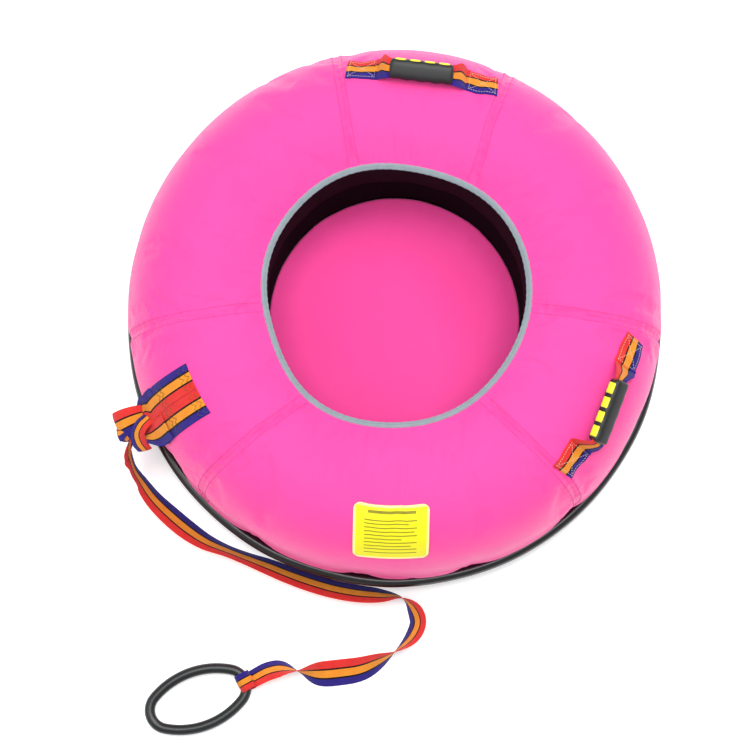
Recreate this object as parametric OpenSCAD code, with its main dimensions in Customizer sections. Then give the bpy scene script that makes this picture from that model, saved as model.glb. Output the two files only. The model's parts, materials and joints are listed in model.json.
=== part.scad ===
// Towable snow and grass tube: an inflated inner tube in a fabric jacket on a hard
// sliding pan, with two carrying handles and a webbing tow strap that ends in a ring.
// Origin: centre of the pan's underside. +Z up. +Y away from the tow strap's ring.

/* [Pan and rim] */
// Outer diameter over the rim bead
rim_d = 1000; // [900:10:1200]
// Diameter of the round rim bead's section
bead_d = 24; // [16:1:30]
// Height of the pan's upright wall
pan_h = 50; // [42:1:60]
// Thickness of the pan's plastic
pan_t = 3; // [2:0.5:4]
// Radius of the pan's lower corner
pan_corner = 16; // [10:1:24]
// Number of rivets through the hem
rivet_n = 15; // [9:1:24]
// Diameter of a rivet's head
rivet_head_d = 12; // [9:1:14]
// Diameter of a rivet's shank
rivet_d = 5; // [4:0.5:6]
// Height of the rivets above the ground
rivet_z = 24; // [22:1:28]

/* [Jacket] */
// Height of the jacket's crown above the ground
crown_h = 278; // [232:2:334]
// Diameter of the seat hole at its binding
hole_d = 468; // [390:2:560]
// How far the binding's middle lies below the crown
binding_drop = 29; // [16:1:48]
// Diameter of the binding's section
binding_d = 9; // [6:0.5:12]
// Distance of the crown inwards from the middle of the ring
crown_in = 6; // [0:1:12]
// How far the jacket's widest line stands out past the pan's wall
belly = 2; // [1:0.5:4]
// Thickness of the jacket's panels
cover_t = 2; // [1:0.5:3]
// Depth of the hem inside the pan's wall
hem_depth = 34; // [28:1:36]

/* [Seat] */
// Height of the seat's top face
seat_z = 51; // [44:1:80]
// Thickness of the seat's fabric
seat_t = 2; // [1:0.5:3]
// Thickness of each closing band
band_t = 2; // [1.5:0.5:3]
// Lower edge of the upper closing band
upper_band_z = 166; // [150:1:200]
// How far the two closing bands overlap
band_lap = 16; // [10:1:30]

/* [Inner tube] */
// Wall thickness of the inner tube
rubber_t = 2.5; // [2:0.5:4]
// Free gap between the closing bands and the inner tube, where the valve sits
valve_room = 26; // [25:1:32]
// Diameter of the valve's neck
neck_d = 7.7; // [7:0.1:8.5]
// Height of the valve above the ground
valve_z = 120; // [110:1:140]
// Direction of the valve seen from above
valve_az = 20; // [0:5:355]

/* [Webbing and handles] */
// Width of the webbing
web_w = 50; // [40:1:55]
// Thickness of the webbing
web_t = 2.5; // [1.5:0.5:3]
// Length of a handle over both sewn ends
handle_l = 276; // [260:2:300]
// Length of one sewn end
sewn_l = 58; // [50:1:62]
// Length of a grip
grip_l = 114; // [100:1:120]
// Width of a grip across its smooth face
grip_w = 36; // [32:1:40]
// Thickness of a grip
grip_t = 25; // [22:1:26]
// Height of a grip's middle above the sewn ends
grip_rise = 31; // [30:1:36]
// Number of finger pads on a grip
pad_n = 4; // [3:1:4]
// Side of a finger pad
pad_s = 21; // [18:1:22]
// How far a finger pad stands out
pad_out = 1.5; // [1:0.5:2]

/* [Tow tab, strap and ring] */
// Length of the tow tab's sewn legs along the jacket
tab_l = 124; // [100:2:130]
// Thickness of the bundled tow strap
strap_d = 22; // [16:1:24]
// Length of the tow ring over its rubber
ring_l = 200; // [180:2:220]
// Width of the tow ring over its rubber
ring_w = 118; // [110:2:130]
// Diameter of the tow ring's rubber
ring_d = 19; // [16:1:20]
// Width of the strap's loop around the ring
loop_w = 26; // [20:1:28]

/* [Label] */
// Width of the label
label_w = 130; // [100:2:140]
// Height of the label along the jacket
label_h = 105; // [80:1:108]
// Corner radius of the label
label_r = 12; // [6:1:16]

/* [Hidden] */
$fn = 96;

jacket_pink = [1.0, 0.33, 0.68];
web_orange = [0.96, 0.62, 0.20];
web_blue = [0.16, 0.14, 0.50];
pad_yellow = [0.92, 0.88, 0.16];
rubber_black = [0.05, 0.06, 0.06];

fit = 0.3;          // gap left between pieces that only touch
far = 2000;         // longer than the whole object, for cutting tools

// Ring section: three arcs that meet tangentially at the crown and at the widest line
wall_r = rim_d / 2 - bead_d;                    // outside of the pan's wall
hem_r = wall_r - pan_t - fit;                   // outside of the hem
belly_r = wall_r + belly;                       // widest line of the jacket
hole_r = hole_d / 2;
binding_z = crown_h - binding_drop;
crown_r = (hole_r + belly_r) / 2 - crown_in;
shoulder_r = belly_r - crown_r;                 // radius of the outer shoulder's arc
belly_z = crown_h - shoulder_r;
slope_in = crown_r - hole_r;
slope_down = binding_z - belly_z;
slope_k = (slope_in * slope_in + slope_down * slope_down - shoulder_r * shoulder_r)
          / (2 * (shoulder_r - slope_down));
inner_arc_r = shoulder_r + slope_k;             // radius of the arc that falls to the binding
flank_drop = belly_z - pan_h;
flank_in = belly_r - hem_r;
flank_r = (flank_drop * flank_drop + flank_in * flank_in) / (2 * flank_in);
hem_z = pan_h - hem_depth;

// Seams, seen from above, counter-clockwise from +X
seam_az = [-8, 61, 105, 187, 227, 310, 352];

// Handles: [direction, distance of the straight webbing from the middle, half turn, lean]
handle_az = [83, -29.5];
handle_off = [crown_r + 52, crown_r + 64];
handle_turn = [0, 180];
handle_lean = [-49, -20];
grip_shift = [2, 11];                           // grip's middle, off the handle's middle
grip_out = [9, 18];                             // and off the hinge line's plane
grip_twist = [0, 13];                           // grip's turn out of the hinge line
grip_round = 8;
slot_gap = 0.4;

// Tow tab: direction and inner end
tab_az = 207;
tab_r = crown_r + 36;
// Shoulder angle where the legs lift off
tab_leave = asin((tab_r - crown_r) / shoulder_r) + tab_l / shoulder_r * 180 / PI;

// Label: direction and angle down the shoulder
label_az = 268.8;
label_down = 35.5;

// Route of the tow strap, from the knot over the ground to the ring
strap_route = [
    [-478, -242, 126], [-483, -254, 94], [-485, -266, 62], [-480, -286, 34], [-466, -308, 15],
    [-444, -337, 12], [-414, -366, 12], [-381, -393, 12], [-347, -415, 12], [-309, -431, 12],
    [-270, -446, 12], [-232, -460, 12], [-194, -475, 12], [-154, -489, 12], [-112, -501, 12],
    [-68, -509, 12], [-26, -513, 12], [12, -517, 12], [34, -537, 12], [42, -562, 12],
    [31, -588, 12], [7, -610, 12], [-27, -630, 12], [-62, -645, 12], [-98, -651, 12],
    [-136, -654, 12], [-172, -650, 12], [-205, -645, 12], [-232, -650, 12], [-258, -663, 13]];
strap_sides = 8;

// Tow ring: its loop's middle, and the direction of its length
loop_pos = [-272, -668];
ring_az = 20;
ring_z = web_t + fit + ring_d / 2;
ring_end_r = 34;                                // centre-line radius of the ring's two ends
loop_half_turn = asin(loop_w / 2 / ring_end_r);
loop_side = ring_end_r * (1 - cos(loop_half_turn))    // free space for the ring's curve
          + ring_d / 2 / cos(loop_half_turn) - ring_d / 2 + 2 * fit;
ring_a = (ring_l - ring_d) / 2;
ring_b = (ring_w - ring_d) / 2;
ring_end_x = ring_a - ring_end_r;
ring_rise = ring_b - ring_end_r;
ring_side_y = (ring_end_x * ring_end_x - ring_rise * ring_rise) / (2 * ring_rise);
ring_side_r = ring_b + ring_side_y;
ring_turn = atan2(ring_side_y, ring_end_x);

// Knot: middle and half sizes
knot_pos = [-477, -226, 146];
knot_r = 20;

// ---- helpers ----

// Solid section of the ring inside the jacket's outline, pulled in by `inset`
module ring_section(inset = 0) {
    intersection() {
        translate([crown_r, belly_z]) circle(shoulder_r - inset, $fn = 180);
        translate([crown_r, belly_z]) square(far);
    }
    intersection() {
        translate([crown_r, crown_h - inner_arc_r]) circle(inner_arc_r - inset, $fn = 360);
        translate([0, hem_z]) square([crown_r + 0.01, far]);
    }
    intersection() {
        translate([belly_r - flank_r, belly_z]) circle(flank_r - inset, $fn = 720);
        translate([crown_r, pan_h]) square([far, belly_z - pan_h + 0.01]);
    }
    translate([crown_r, hem_z]) square([hem_r - inset - crown_r, pan_h - hem_z + 0.01]);
}

// Section of a skin between two offsets, cut off at the binding
module skin_section(outer, inner) {
    difference() {
        intersection() {
            ring_section(outer);
            translate([hole_r + binding_d / 2 + 0.05, hem_z]) square(far);
        }
        ring_section(inner);
    }
}

// A point of the jacket's shoulder as a local frame: x down the slope, y along the ring
module on_shoulder(az, r) {
    down = asin((r - crown_r) / shoulder_r);
    rotate([0, 0, az])
        translate([r, 0, belly_z + shoulder_r * cos(down)])
            rotate([0, down, 0]) children();
}

module at_handle(i) {
    on_shoulder(handle_az[i], handle_off[i]) rotate([0, 0, handle_turn[i]]) children();
}

// Whatever of the children lies in a layer of `thick` on the jacket
module laid_on_jacket(thick) {
    intersection() {
        rotate_extrude($fn = 180) skin_section(-thick, 0);
        children();
    }
}

module rounded_rect(w, h, r) {
    square([w - 2 * r, h], center = true);
    square([w, h - 2 * r], center = true);
    for (x = [-1, 1], y = [-1, 1])
        translate([x * (w / 2 - r), y * (h / 2 - r)]) circle(r, $fn = 48);
}

// ---- pan, rim and hem fixings ----

module base_pan() color(rubber_black) {
    groove_w = 12;
    groove_deep = 1;
    difference() {
        rotate_extrude($fn = 180) {
            square([wall_r - pan_corner, pan_t]);
            translate([wall_r - pan_t, pan_corner]) square([pan_t, pan_h - pan_corner]);
            intersection() {
                translate([wall_r - pan_corner, pan_corner]) difference() {
                    circle(pan_corner, $fn = 72);
                    circle(pan_corner - pan_t, $fn = 72);
                }
                translate([wall_r - pan_corner, 0]) square(pan_corner);
            }
        }
        for (r = [120 : 80 : 360]) rotate_extrude($fn = 180)
            translate([r, -groove_deep]) square([groove_w, 2 * groove_deep]);
        rivet_holes();
    }
}

module at_rivets() {
    for (k = [0 : rivet_n - 1]) rotate([0, 0, 46.5 - 360 / rivet_n * k])
        translate([0, 0, rivet_z]) rotate([0, 90, 0]) children();
}

module rivet_holes() {
    at_rivets() translate([0, 0, wall_r - 20]) cylinder(d = rivet_d + fit, h = 40, $fn = 24);
}

module hem_rivets() color("silver") at_rivets() {
    head_t = 2;
    tail_t = 1.5;
    inside_r = hem_r - cover_t - band_t;
    translate([0, 0, wall_r]) cylinder(d = rivet_head_d, h = head_t, $fn = 32);
    translate([0, 0, inside_r - tail_t]) cylinder(d = rivet_d, h = wall_r - inside_r + tail_t, $fn = 24);
    translate([0, 0, inside_r - tail_t]) cylinder(d = rivet_d + 3, h = tail_t, $fn = 24);
}

module hem_washers() color("silver") at_rivets() translate([0, 0, hem_r - cover_t - band_t])
    difference() {
        cylinder(d = rivet_head_d + 2, h = 1.5, $fn = 32);
        translate([0, 0, -1]) cylinder(d = rivet_d + fit, h = 4, $fn = 24);
    }

module rim_bead() color([0.03, 0.035, 0.035])
    rotate_extrude($fn = 180) translate([rim_d / 2 - bead_d / 2, pan_h - 10])
        circle(d = bead_d, $fn = 72);

// ---- jacket ----

module cover_panel(k) color(jacket_pink) difference() {
    rotate_extrude(angle = seam_az[k] - seam_az[k - 1], start = seam_az[k - 1], $fn = 180)
        skin_section(0, cover_t);
    rivet_holes();
}

module inner_binding() color([0.58, 0.64, 0.68])
    rotate_extrude($fn = 180) translate([hole_r, binding_z]) circle(d = binding_d, $fn = 48);

// Upper closing band: hangs from the binding, inside the lower one
module hook_band() color([0.20, 0.13, 0.17])
    rotate_extrude($fn = 180)
        translate([hole_r - band_t - fit, upper_band_z])
            square([band_t, binding_z - binding_d / 2 - upper_band_z]);

// Lower closing band: stands up from the seat
module loop_band() color([0.04, 0.04, 0.05])
    rotate_extrude($fn = 180)
        translate([hole_r, seat_z - seat_t])
            square([band_t, upper_band_z + band_lap - seat_z + seat_t]);

module seat_panel() color(jacket_pink)
    translate([0, 0, seat_z - seat_t]) cylinder(r = hole_r - fit, h = seat_t, $fn = 180);

module seat_pad() color([0.85, 0.83, 0.75])
    translate([0, 0, pan_t]) cylinder(r = hole_r - 4, h = seat_z - seat_t - pan_t, $fn = 180);

// ---- inner tube and valve ----

tube_in_r = hole_r + band_t + valve_room;       // inside of the inner tube
tube_skin = cover_t + fit;

module tube_section(inset) {
    low = pan_t + fit + inset;
    corner = 60 - inset;
    high = crown_h - 30;
    left = tube_in_r + inset;
    right = hem_r - 8 - inset;
    intersection() {
        ring_section_full(tube_skin + inset);
        union() {
            translate([left + corner, low]) square([right - left - 2 * corner, high - low]);
            translate([left, low + corner]) square([right - left, high - low - corner]);
            translate([left + corner, low + corner]) circle(corner, $fn = 96);
            translate([right - corner, low + corner]) circle(corner, $fn = 96);
            translate([left + corner, belly_z]) square([right - left - corner, far]);
            translate([left + corner, high - corner / 2]) circle(corner, $fn = 96);
        }
    }
}

// The ring's section with its bottom carried down to the pan
module ring_section_full(inset) {
    ring_section(inset);
    translate([hole_r, 0]) square([hem_r - inset - hole_r, pan_h]);
}

module inner_tube() color([0.10, 0.10, 0.11])
    rotate_extrude($fn = 180) difference() {
        tube_section(0);
        tube_section(rubber_t);
    }

// The valve points at the middle of the hole; z runs out along it from the tube's wall
module at_valve() {
    rotate([0, 0, valve_az]) translate([tube_in_r, 0, valve_z]) rotate([0, -90, 0]) children();
}

neck_start = 10;
neck_end = 19;
core_d = 5.2;
core_low = 12;
core_high = 17;
pin_d = 1.5;

module valve_stem() color([0.72, 0.60, 0.30]) at_valve() difference() {
    union() {
        translate([0, 0, 0.5]) cylinder(d = 34, h = 2, $fn = 64);
        cylinder(d = 12, h = neck_start, $fn = 48);
        cylinder(d = neck_d, h = neck_end, $fn = 48);
    }
    translate([0, 0, core_low]) cylinder(d = core_d, h = neck_end, $fn = 32);
}

module valve_core() color("gold") at_valve() difference() {
    translate([0, 0, core_low]) cylinder(d = core_d - 0.1, h = core_high - core_low, $fn = 32);
    translate([0, 0, core_low + 1]) cylinder(d = pin_d + 0.2, h = neck_end, $fn = 24);
}

module valve_pin() color("silver") at_valve()
    translate([0, 0, core_low + 3]) cylinder(d = pin_d, h = 3.6, $fn = 24);

module valve_cap() color("black") at_valve() difference() {
    translate([0, 0, neck_start + 0.5]) cylinder(d = neck_d + 2.6, h = 11, $fn = 24);
    translate([0, 0, neck_start]) cylinder(d = neck_d + 0.16, h = 10, $fn = 48);
}

// ---- handles ----

half_l = handle_l / 2;
sewn_in = half_l - sewn_l;                      // inner edge of a sewn end
core_w = grip_w - 4;                            // webbing folded narrower inside the grip

module handle_ends(i) color(web_orange) laid_on_jacket(web_t)
    at_handle(i) for (s = [-1, 1])
        translate([-web_w / 2, s > 0 ? sewn_in : -half_l, -40]) cube([web_w, sewn_l, 60]);

// Everything that swings with a handle is drawn upright about its hinge line, then leant
module swung(i) at_handle(i) translate([0, 0, hinge_z]) rotate([0, handle_lean[i], 0]) children();
hinge_z = -2;

module at_grip(i) swung(i) translate([grip_out[i], grip_shift[i], grip_rise])
    rotate([0, 0, grip_twist[i]]) children();

module handle_strap(i) color(web_blue) {
    tip_w = 6;
    tip_z = 4.5;
    end_y = grip_l / 2 + 1;
    at_grip(i) translate([-core_w / 2, -end_y, -web_t / 2]) cube([core_w, 2 * end_y, web_t]);
    for (s = [-1, 1]) hull() {
        at_grip(i) translate([-core_w / 2, s * end_y - 0.5, -web_t / 2]) cube([core_w, 1, web_t]);
        swung(i) translate([-tip_w / 2, s * (sewn_in - 2) - web_t / 2, tip_z])
            cube([tip_w, web_t, 1]);
    }
}

module handle_grip(i) color([0.12, 0.12, 0.12]) at_grip(i) difference() {
    rotate([90, 0, 0]) linear_extrude(grip_l, center = true)
        rounded_rect(grip_w, grip_t, grip_round);
    translate([-core_w / 2 - slot_gap, -half_l, -web_t / 2 - slot_gap])
        cube([core_w + 2 * slot_gap, handle_l, web_t + 2 * slot_gap]);
    for (k = [0 : pad_n - 1]) pad(k, 0.1);
}

module pad(k, grow = 0) {
    pitch = pad_s + 5;
    deep = 1;
    side = pad_s - 6;
    translate([grip_w / 2 - deep - grow, (k - (pad_n - 1) / 2) * pitch, 0])
        rotate([0, 90, 0]) linear_extrude(deep + pad_out + grow)
            rounded_rect(side + 2 * grow, pad_s + 2 * grow, 3);
}

module handle_pads(i) color(pad_yellow) at_grip(i) for (k = [0 : pad_n - 1]) pad(k);

// ---- tow tab, knot, strap and ring ----

leg_gap = 0.4;
tab_span = 2 * web_w + leg_gap;

// Two legs of webbing side by side, laid down the jacket's shoulder
module tow_tab() color(web_orange) laid_on_jacket(web_t)
    rotate([0, 0, tab_az]) for (s = [-1, 1])
        translate([tab_r, s > 0 ? leg_gap / 2 : -web_w - leg_gap / 2, 0])
            tab_cut() cube([far, web_w, far]);

// Keeps the part of a leg that lies above the line where the legs lift off
module tab_cut() intersection() {
    children();
    translate([crown_r - tab_r, -far / 2, belly_z]) rotate([0, tab_leave - 90, 0]) cube(far);
}

// A thin upright slice across the tab: distance out, height, width and thickness
module tab_slice(out, up, wide, thick)
    translate([out, -wide / 2, up - thick / 2]) cube([1, wide, thick]);

module tow_tab_loop() color(web_orange) rotate([0, 0, tab_az]) {
    leave_r = crown_r + (shoulder_r + web_t / 2) * sin(tab_leave);
    leave_z = belly_z + (shoulder_r + web_t / 2) * cos(tab_leave);
    hull() {
        tab_slice(leave_r + 1.5, leave_z, tab_span - 4, 2 * web_t);
        tab_slice(leave_r + 24, leave_z - 20, 64, 3 * web_t);
    }
    hull() {
        tab_slice(leave_r + 24, leave_z - 20, 64, 3 * web_t);
        tab_slice(leave_r + 50, leave_z - 38, 30, 4 * web_t);
    }
}

module tow_knot() color(web_blue) translate(knot_pos) {
    sphere(knot_r, $fn = 48);
    translate([-10, 6, 4]) sphere(knot_r - 3, $fn = 48);
    translate([4, -12, -10]) sphere(knot_r - 5, $fn = 48);
}

function unit(v) = v / norm(v);
function ahead(path, i) = unit(path[min(i + 1, len(path) - 1)] - path[max(i - 1, 0)]);
function ring_of(path, i, r, n) =
    let (t = ahead(path, i),
         side = unit(cross(abs(t[2]) > 0.9 ? [0, 1, 0] : [0, 0, 1], t)),
         up = cross(t, side))
    [for (k = [0 : n - 1]) path[i] + r * (cos(360 * k / n) * side + sin(360 * k / n) * up)];

// A tube of n sides swept through the route's points
module swept(path, r, n) {
    m = len(path);
    points = [for (i = [0 : m - 1]) each ring_of(path, i, r, n)];
    walls = [for (i = [0 : m - 2], k = [0 : n - 1])
        let (l = (k + 1) % n) [i * n + k, (i + 1) * n + k, (i + 1) * n + l, i * n + l]];
    ends = [[for (k = [0 : n - 1]) k], [for (k = [0 : n - 1]) m * n - 1 - k]];
    polyhedron(points, concat(walls, ends));
}

module tow_strap() color(web_orange) swept(strap_route, strap_d / 2, strap_sides);

module at_loop() translate([loop_pos[0], loop_pos[1], 0]) rotate([0, 0, ring_az]) children();

// Hole of the strap's loop: room above and inwards for the curve of the ring
module loop_hole(grow) {
    translate([0, ring_z]) circle(ring_d / 2 + loop_side + grow, $fn = 64);
    translate([-ring_d / 2 - loop_side - grow, web_t - grow])
        square([ring_d + 2 * (loop_side + grow), ring_z - web_t + grow]);
}

module tow_strap_end() color(web_orange) at_loop() rotate([90, 0, 0])
    linear_extrude(loop_w, center = true) difference() {
        intersection() {
            loop_hole(web_t);
            translate([-far / 2, 0]) square(far);
        }
        intersection() {
            loop_hole(0);
            translate([-far / 2, web_t]) square(far);
        }
    }

// A piece of a round tube, bent to radius r, between two directions less than 180 apart
module bent_tube(r, from, to) difference() {
    rotate_extrude($fn = 180) translate([r, 0]) circle(d = ring_d, $fn = 48);
    rotate([0, 0, from]) translate([-far, -far, -far]) cube([2 * far, far, 2 * far]);
    rotate([0, 0, to]) translate([-far, 0, -far]) cube([2 * far, far, 2 * far]);
}

// An oval of four tangent arcs, its right-hand end at the loop. Each joint of two arcs
// holds a short straight plug, a hair thinner than the rubber
module tow_ring() color(rubber_black) at_loop() translate([-ring_a, 0, ring_z]) {
    trim_end = 0.3;
    trim_side = trim_end * ring_end_r / ring_side_r;
    plug_l = 2;
    for (s = [0, 180]) rotate([0, 0, s]) {
        translate([ring_end_x, 0, 0])
            bent_tube(ring_end_r, trim_end - ring_turn, ring_turn - trim_end);
        translate([0, -ring_side_y, 0])
            bent_tube(ring_side_r, ring_turn + trim_side, 180 - ring_turn - trim_side);
        for (m = [-1, 1]) translate([ring_end_x, 0, 0]) rotate([0, 0, m * ring_turn])
            translate([ring_end_r, 0, 0]) rotate([90, 0, 0])
                cylinder(d = ring_d - 0.1, h = plug_l, center = true, $fn = 48);
    }
}

// ---- label ----

module care_label() color([0.95, 0.94, 0.25]) laid_on_jacket(0.8)
    on_shoulder(label_az, crown_r + shoulder_r * sin(label_down))
        translate([0, 0, -40]) linear_extrude(60) rounded_rect(label_h, label_w, label_r);

base_pan();
rim_bead();
hem_rivets();
hem_washers();
cover_panel(1);  // cover_panel_1
cover_panel(2);  // cover_panel_2
cover_panel(3);  // cover_panel_3
cover_panel(4);  // cover_panel_4
cover_panel(5);  // cover_panel_5
cover_panel(6);  // cover_panel_6
inner_binding();
hook_band();
loop_band();
seat_panel();
seat_pad();
inner_tube();
valve_stem();
valve_core();
valve_pin();
valve_cap();
handle_ends(0);  // handle_1_ends
handle_strap(0);  // handle_1_strap
handle_grip(0);  // handle_1_grip
handle_pads(0);  // handle_1_pads
handle_ends(1);  // handle_2_ends
handle_strap(1);  // handle_2_strap
handle_grip(1);  // handle_2_grip
handle_pads(1);  // handle_2_pads
tow_tab();
tow_tab_loop();
tow_knot();
tow_strap();
tow_strap_end();
tow_ring();
care_label();
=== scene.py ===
# %% [markdown]
# # A towable snow and grass tube
# The tube is a soft thing on a hard base. An inflated rubber ring fills a jacket sewn from six
# pink panels, the jacket is riveted to a black sliding pan with a round bead, and striped webbing
# makes its two handles and its tow strap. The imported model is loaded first, because every size
# and every place below is worked out from it.

# %% Load the frame
import json
import math

import bmesh
import bpy
import numpy as np
from mathutils import Matrix, Vector

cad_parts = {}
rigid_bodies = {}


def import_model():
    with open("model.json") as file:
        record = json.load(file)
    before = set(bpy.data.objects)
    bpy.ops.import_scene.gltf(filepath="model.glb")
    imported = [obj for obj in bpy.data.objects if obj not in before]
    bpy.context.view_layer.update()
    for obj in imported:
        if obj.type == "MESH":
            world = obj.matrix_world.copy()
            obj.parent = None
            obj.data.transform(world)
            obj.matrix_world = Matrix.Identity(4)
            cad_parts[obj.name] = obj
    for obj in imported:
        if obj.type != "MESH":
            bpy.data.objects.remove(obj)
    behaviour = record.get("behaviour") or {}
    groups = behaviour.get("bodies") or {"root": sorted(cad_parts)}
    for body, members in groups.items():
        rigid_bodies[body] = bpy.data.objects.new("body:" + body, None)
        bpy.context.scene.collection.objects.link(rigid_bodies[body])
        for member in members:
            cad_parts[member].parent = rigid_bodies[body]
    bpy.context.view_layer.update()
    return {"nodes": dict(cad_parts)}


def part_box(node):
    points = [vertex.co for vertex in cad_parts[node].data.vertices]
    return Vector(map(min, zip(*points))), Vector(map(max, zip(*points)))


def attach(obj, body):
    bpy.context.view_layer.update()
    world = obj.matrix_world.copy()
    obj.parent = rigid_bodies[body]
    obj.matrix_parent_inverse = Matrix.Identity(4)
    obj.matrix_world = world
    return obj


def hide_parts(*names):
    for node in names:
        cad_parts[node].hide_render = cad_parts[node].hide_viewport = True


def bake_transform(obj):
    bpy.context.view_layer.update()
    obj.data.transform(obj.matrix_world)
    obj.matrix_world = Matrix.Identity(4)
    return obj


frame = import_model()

# %% Sizes of the ring, read from the frame, in metres
MM = 0.001
bead_low, bead_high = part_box("rim_bead")
binding_low, binding_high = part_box("inner_binding")
pan_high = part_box("base_pan")[1]
RIM_R = bead_high.x
BEAD_R = (bead_high.z - bead_low.z) / 2
BEAD_Z = (bead_high.z + bead_low.z) / 2
WALL_R = pan_high.x
WALL_T = 3 * MM
PAN_H = pan_high.z
BINDING_R = (binding_high.z - binding_low.z) / 2
BINDING_Z = (binding_high.z + binding_low.z) / 2
HOLE_R = binding_high.x - BINDING_R
SEAT_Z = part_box("seat_panel")[1].z
CROWN_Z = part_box("cover_panel_5")[1].z
BELLY_R = WALL_R + 2 * MM
CROWN_R = (HOLE_R + BELLY_R) / 2 - 6 * MM
SHOULDER_R = BELLY_R - CROWN_R
BELLY_Z = CROWN_Z - SHOULDER_R
HEM_R = WALL_R - WALL_T - 0.3 * MM
print(f"rim {RIM_R:.3f}, hole {HOLE_R:.3f}, crown {CROWN_Z:.3f} at {CROWN_R:.3f}")

# %% [markdown]
# ## The camera
# It looks down at the tube, eleven degrees off the vertical, from the side where the tow strap
# lies. The camera and the free strap come first, because the strap's route is fixed early.

# %% Camera
CAMERA_ELEVATION = math.radians(79)
CAMERA_DISTANCE = 3.5
CAMERA_TARGET = Vector((-0.0363, -0.0979, 0.0))
FOCAL_LENGTH = 89.26
SENSOR_WIDTH = 36

camera = bpy.data.objects.new("camera", bpy.data.cameras.new("camera"))
bpy.context.scene.collection.objects.link(camera)
back = Vector((0, -math.cos(CAMERA_ELEVATION), math.sin(CAMERA_ELEVATION)))
camera.location = CAMERA_TARGET + back * CAMERA_DISTANCE
camera.rotation_mode = "QUATERNION"
camera.rotation_quaternion = (-back).to_track_quat("-Z", "Y")
camera.data.lens = FOCAL_LENGTH
camera.data.sensor_width = SENSOR_WIDTH
camera.data.clip_end = 50
bpy.context.scene.camera = camera
print("camera at", [round(v, 3) for v in camera.location])

# %% [markdown]
# ## Small tools for node graphs
# A material is a graph of nodes, which is hard to read as a list of links. `Wire` wraps one
# socket, so that sums can be written as Python expressions: `1 - mask * 2` adds its Math nodes.
# `Graph` adds any other node, and `Paint` is the graph of a material.

# %% Wire, Graph and Paint
class Wire:
    """One socket of a node graph, which adds Math nodes when it is used in a sum."""

    def __init__(self, graph, socket):
        self.graph, self.socket = graph, socket

    def math(self, operation, *values):
        return self.graph.node("ShaderNodeMath", {"operation": operation}, *values)

    def __add__(self, other): return self.math("ADD", self, other)
    def __radd__(self, other): return self.math("ADD", other, self)
    def __sub__(self, other): return self.math("SUBTRACT", self, other)
    def __rsub__(self, other): return self.math("SUBTRACT", other, self)
    def __mul__(self, other): return self.math("MULTIPLY", self, other)
    def __rmul__(self, other): return self.math("MULTIPLY", other, self)
    def __truediv__(self, other): return self.math("DIVIDE", self, other)
    def __lt__(self, other): return self.math("LESS_THAN", self, other)
    def __gt__(self, other): return self.math("GREATER_THAN", self, other)
    def __abs__(self): return self.math("ABSOLUTE", self)
    def sin(self): return self.math("SINE", self)


class Graph:
    """A node tree, `self.tree`, that is built by code."""

    def feed(self, socket, value):
        if isinstance(value, Wire):
            self.tree.links.new(value.socket, socket)
        elif value is not None:
            socket.default_value = value

    def node(self, kind, settings, *values, out=0, **named):
        made = self.tree.nodes.new(kind)
        for key, value in settings.items():
            setattr(made, key, value)
        for place, value in [*enumerate(values), *named.items()]:
            label = place.replace("_", " ") if isinstance(place, str) else place
            self.feed(made.inputs[label], value)
        return Wire(self, made.outputs[out])


class Paint(Graph):
    """The graph of a new material."""

    def __init__(self, name, **constants):
        self.material = bpy.data.materials.new(name)
        self.material.use_nodes = True
        self.tree = self.material.node_tree
        self.skin = self.tree.nodes["Principled BSDF"]
        for label, value in constants.items():
            self.skin.inputs[label.replace("_", " ")].default_value = value

    def mix(self, share, a, b):
        made = self.tree.nodes.new("ShaderNodeMix")
        made.data_type = "RGBA"
        for place, value in ((0, share), (6, a), (7, b)):
            self.feed(made.inputs[place], value)
        return Wire(self, made.outputs[2])

    def noise(self, where, scale, detail=3.0, rough=0.55):
        return self.node("ShaderNodeTexNoise", {}, Vector=where, Scale=scale, Detail=detail,
                         Roughness=rough)

    def bump(self, height, distance, strength=1.0, normal=None):
        return self.node("ShaderNodeBump", {}, Height=height, Distance=distance,
                         Strength=strength, Normal=normal)

    def place(self):
        return self.node("ShaderNodeTexCoord", {}, out=3)

    def across(self):
        """The piece's own UV map, in metres, as two wires: along U and along V."""
        uv = self.node("ShaderNodeUVMap", {"uv_map": "cloth"})
        split = self.tree.nodes.new("ShaderNodeSeparateXYZ")
        self.tree.links.new(uv.socket, split.inputs[0])
        return uv, Wire(self, split.outputs[0]), Wire(self, split.outputs[1])

    def finish(self, **sockets):
        for label, value in sockets.items():
            self.feed(self.skin.inputs[label.replace("_", " ")], value)
        return self.material


def tint(red, green, blue):
    """A colour given as it looks on screen, 0 to 255, turned into linear light."""
    def linear(v):
        v /= 255
        return v / 12.92 if v <= 0.04045 else ((v + 0.055) / 1.055) ** 2.4
    return (linear(red), linear(green), linear(blue), 1.0)

# %% [markdown]
# ## The finishes
# Coated polyester cloth has a fine plain weave under a thin film: the weave shows as a very small
# bump, and the film gives a soft sheen. The rim and the ring are rubber and moulded plastic,
# whose gloss varies where hands and snow have rubbed it.

# %% Cloth, webbing and pile
def weave_height(u, v, pitch):
    """A plain weave: threads over and under, `pitch` metres apart."""
    turn = 2 * math.pi / pitch
    return (u * turn).sin() * (v * turn).sin()


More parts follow.
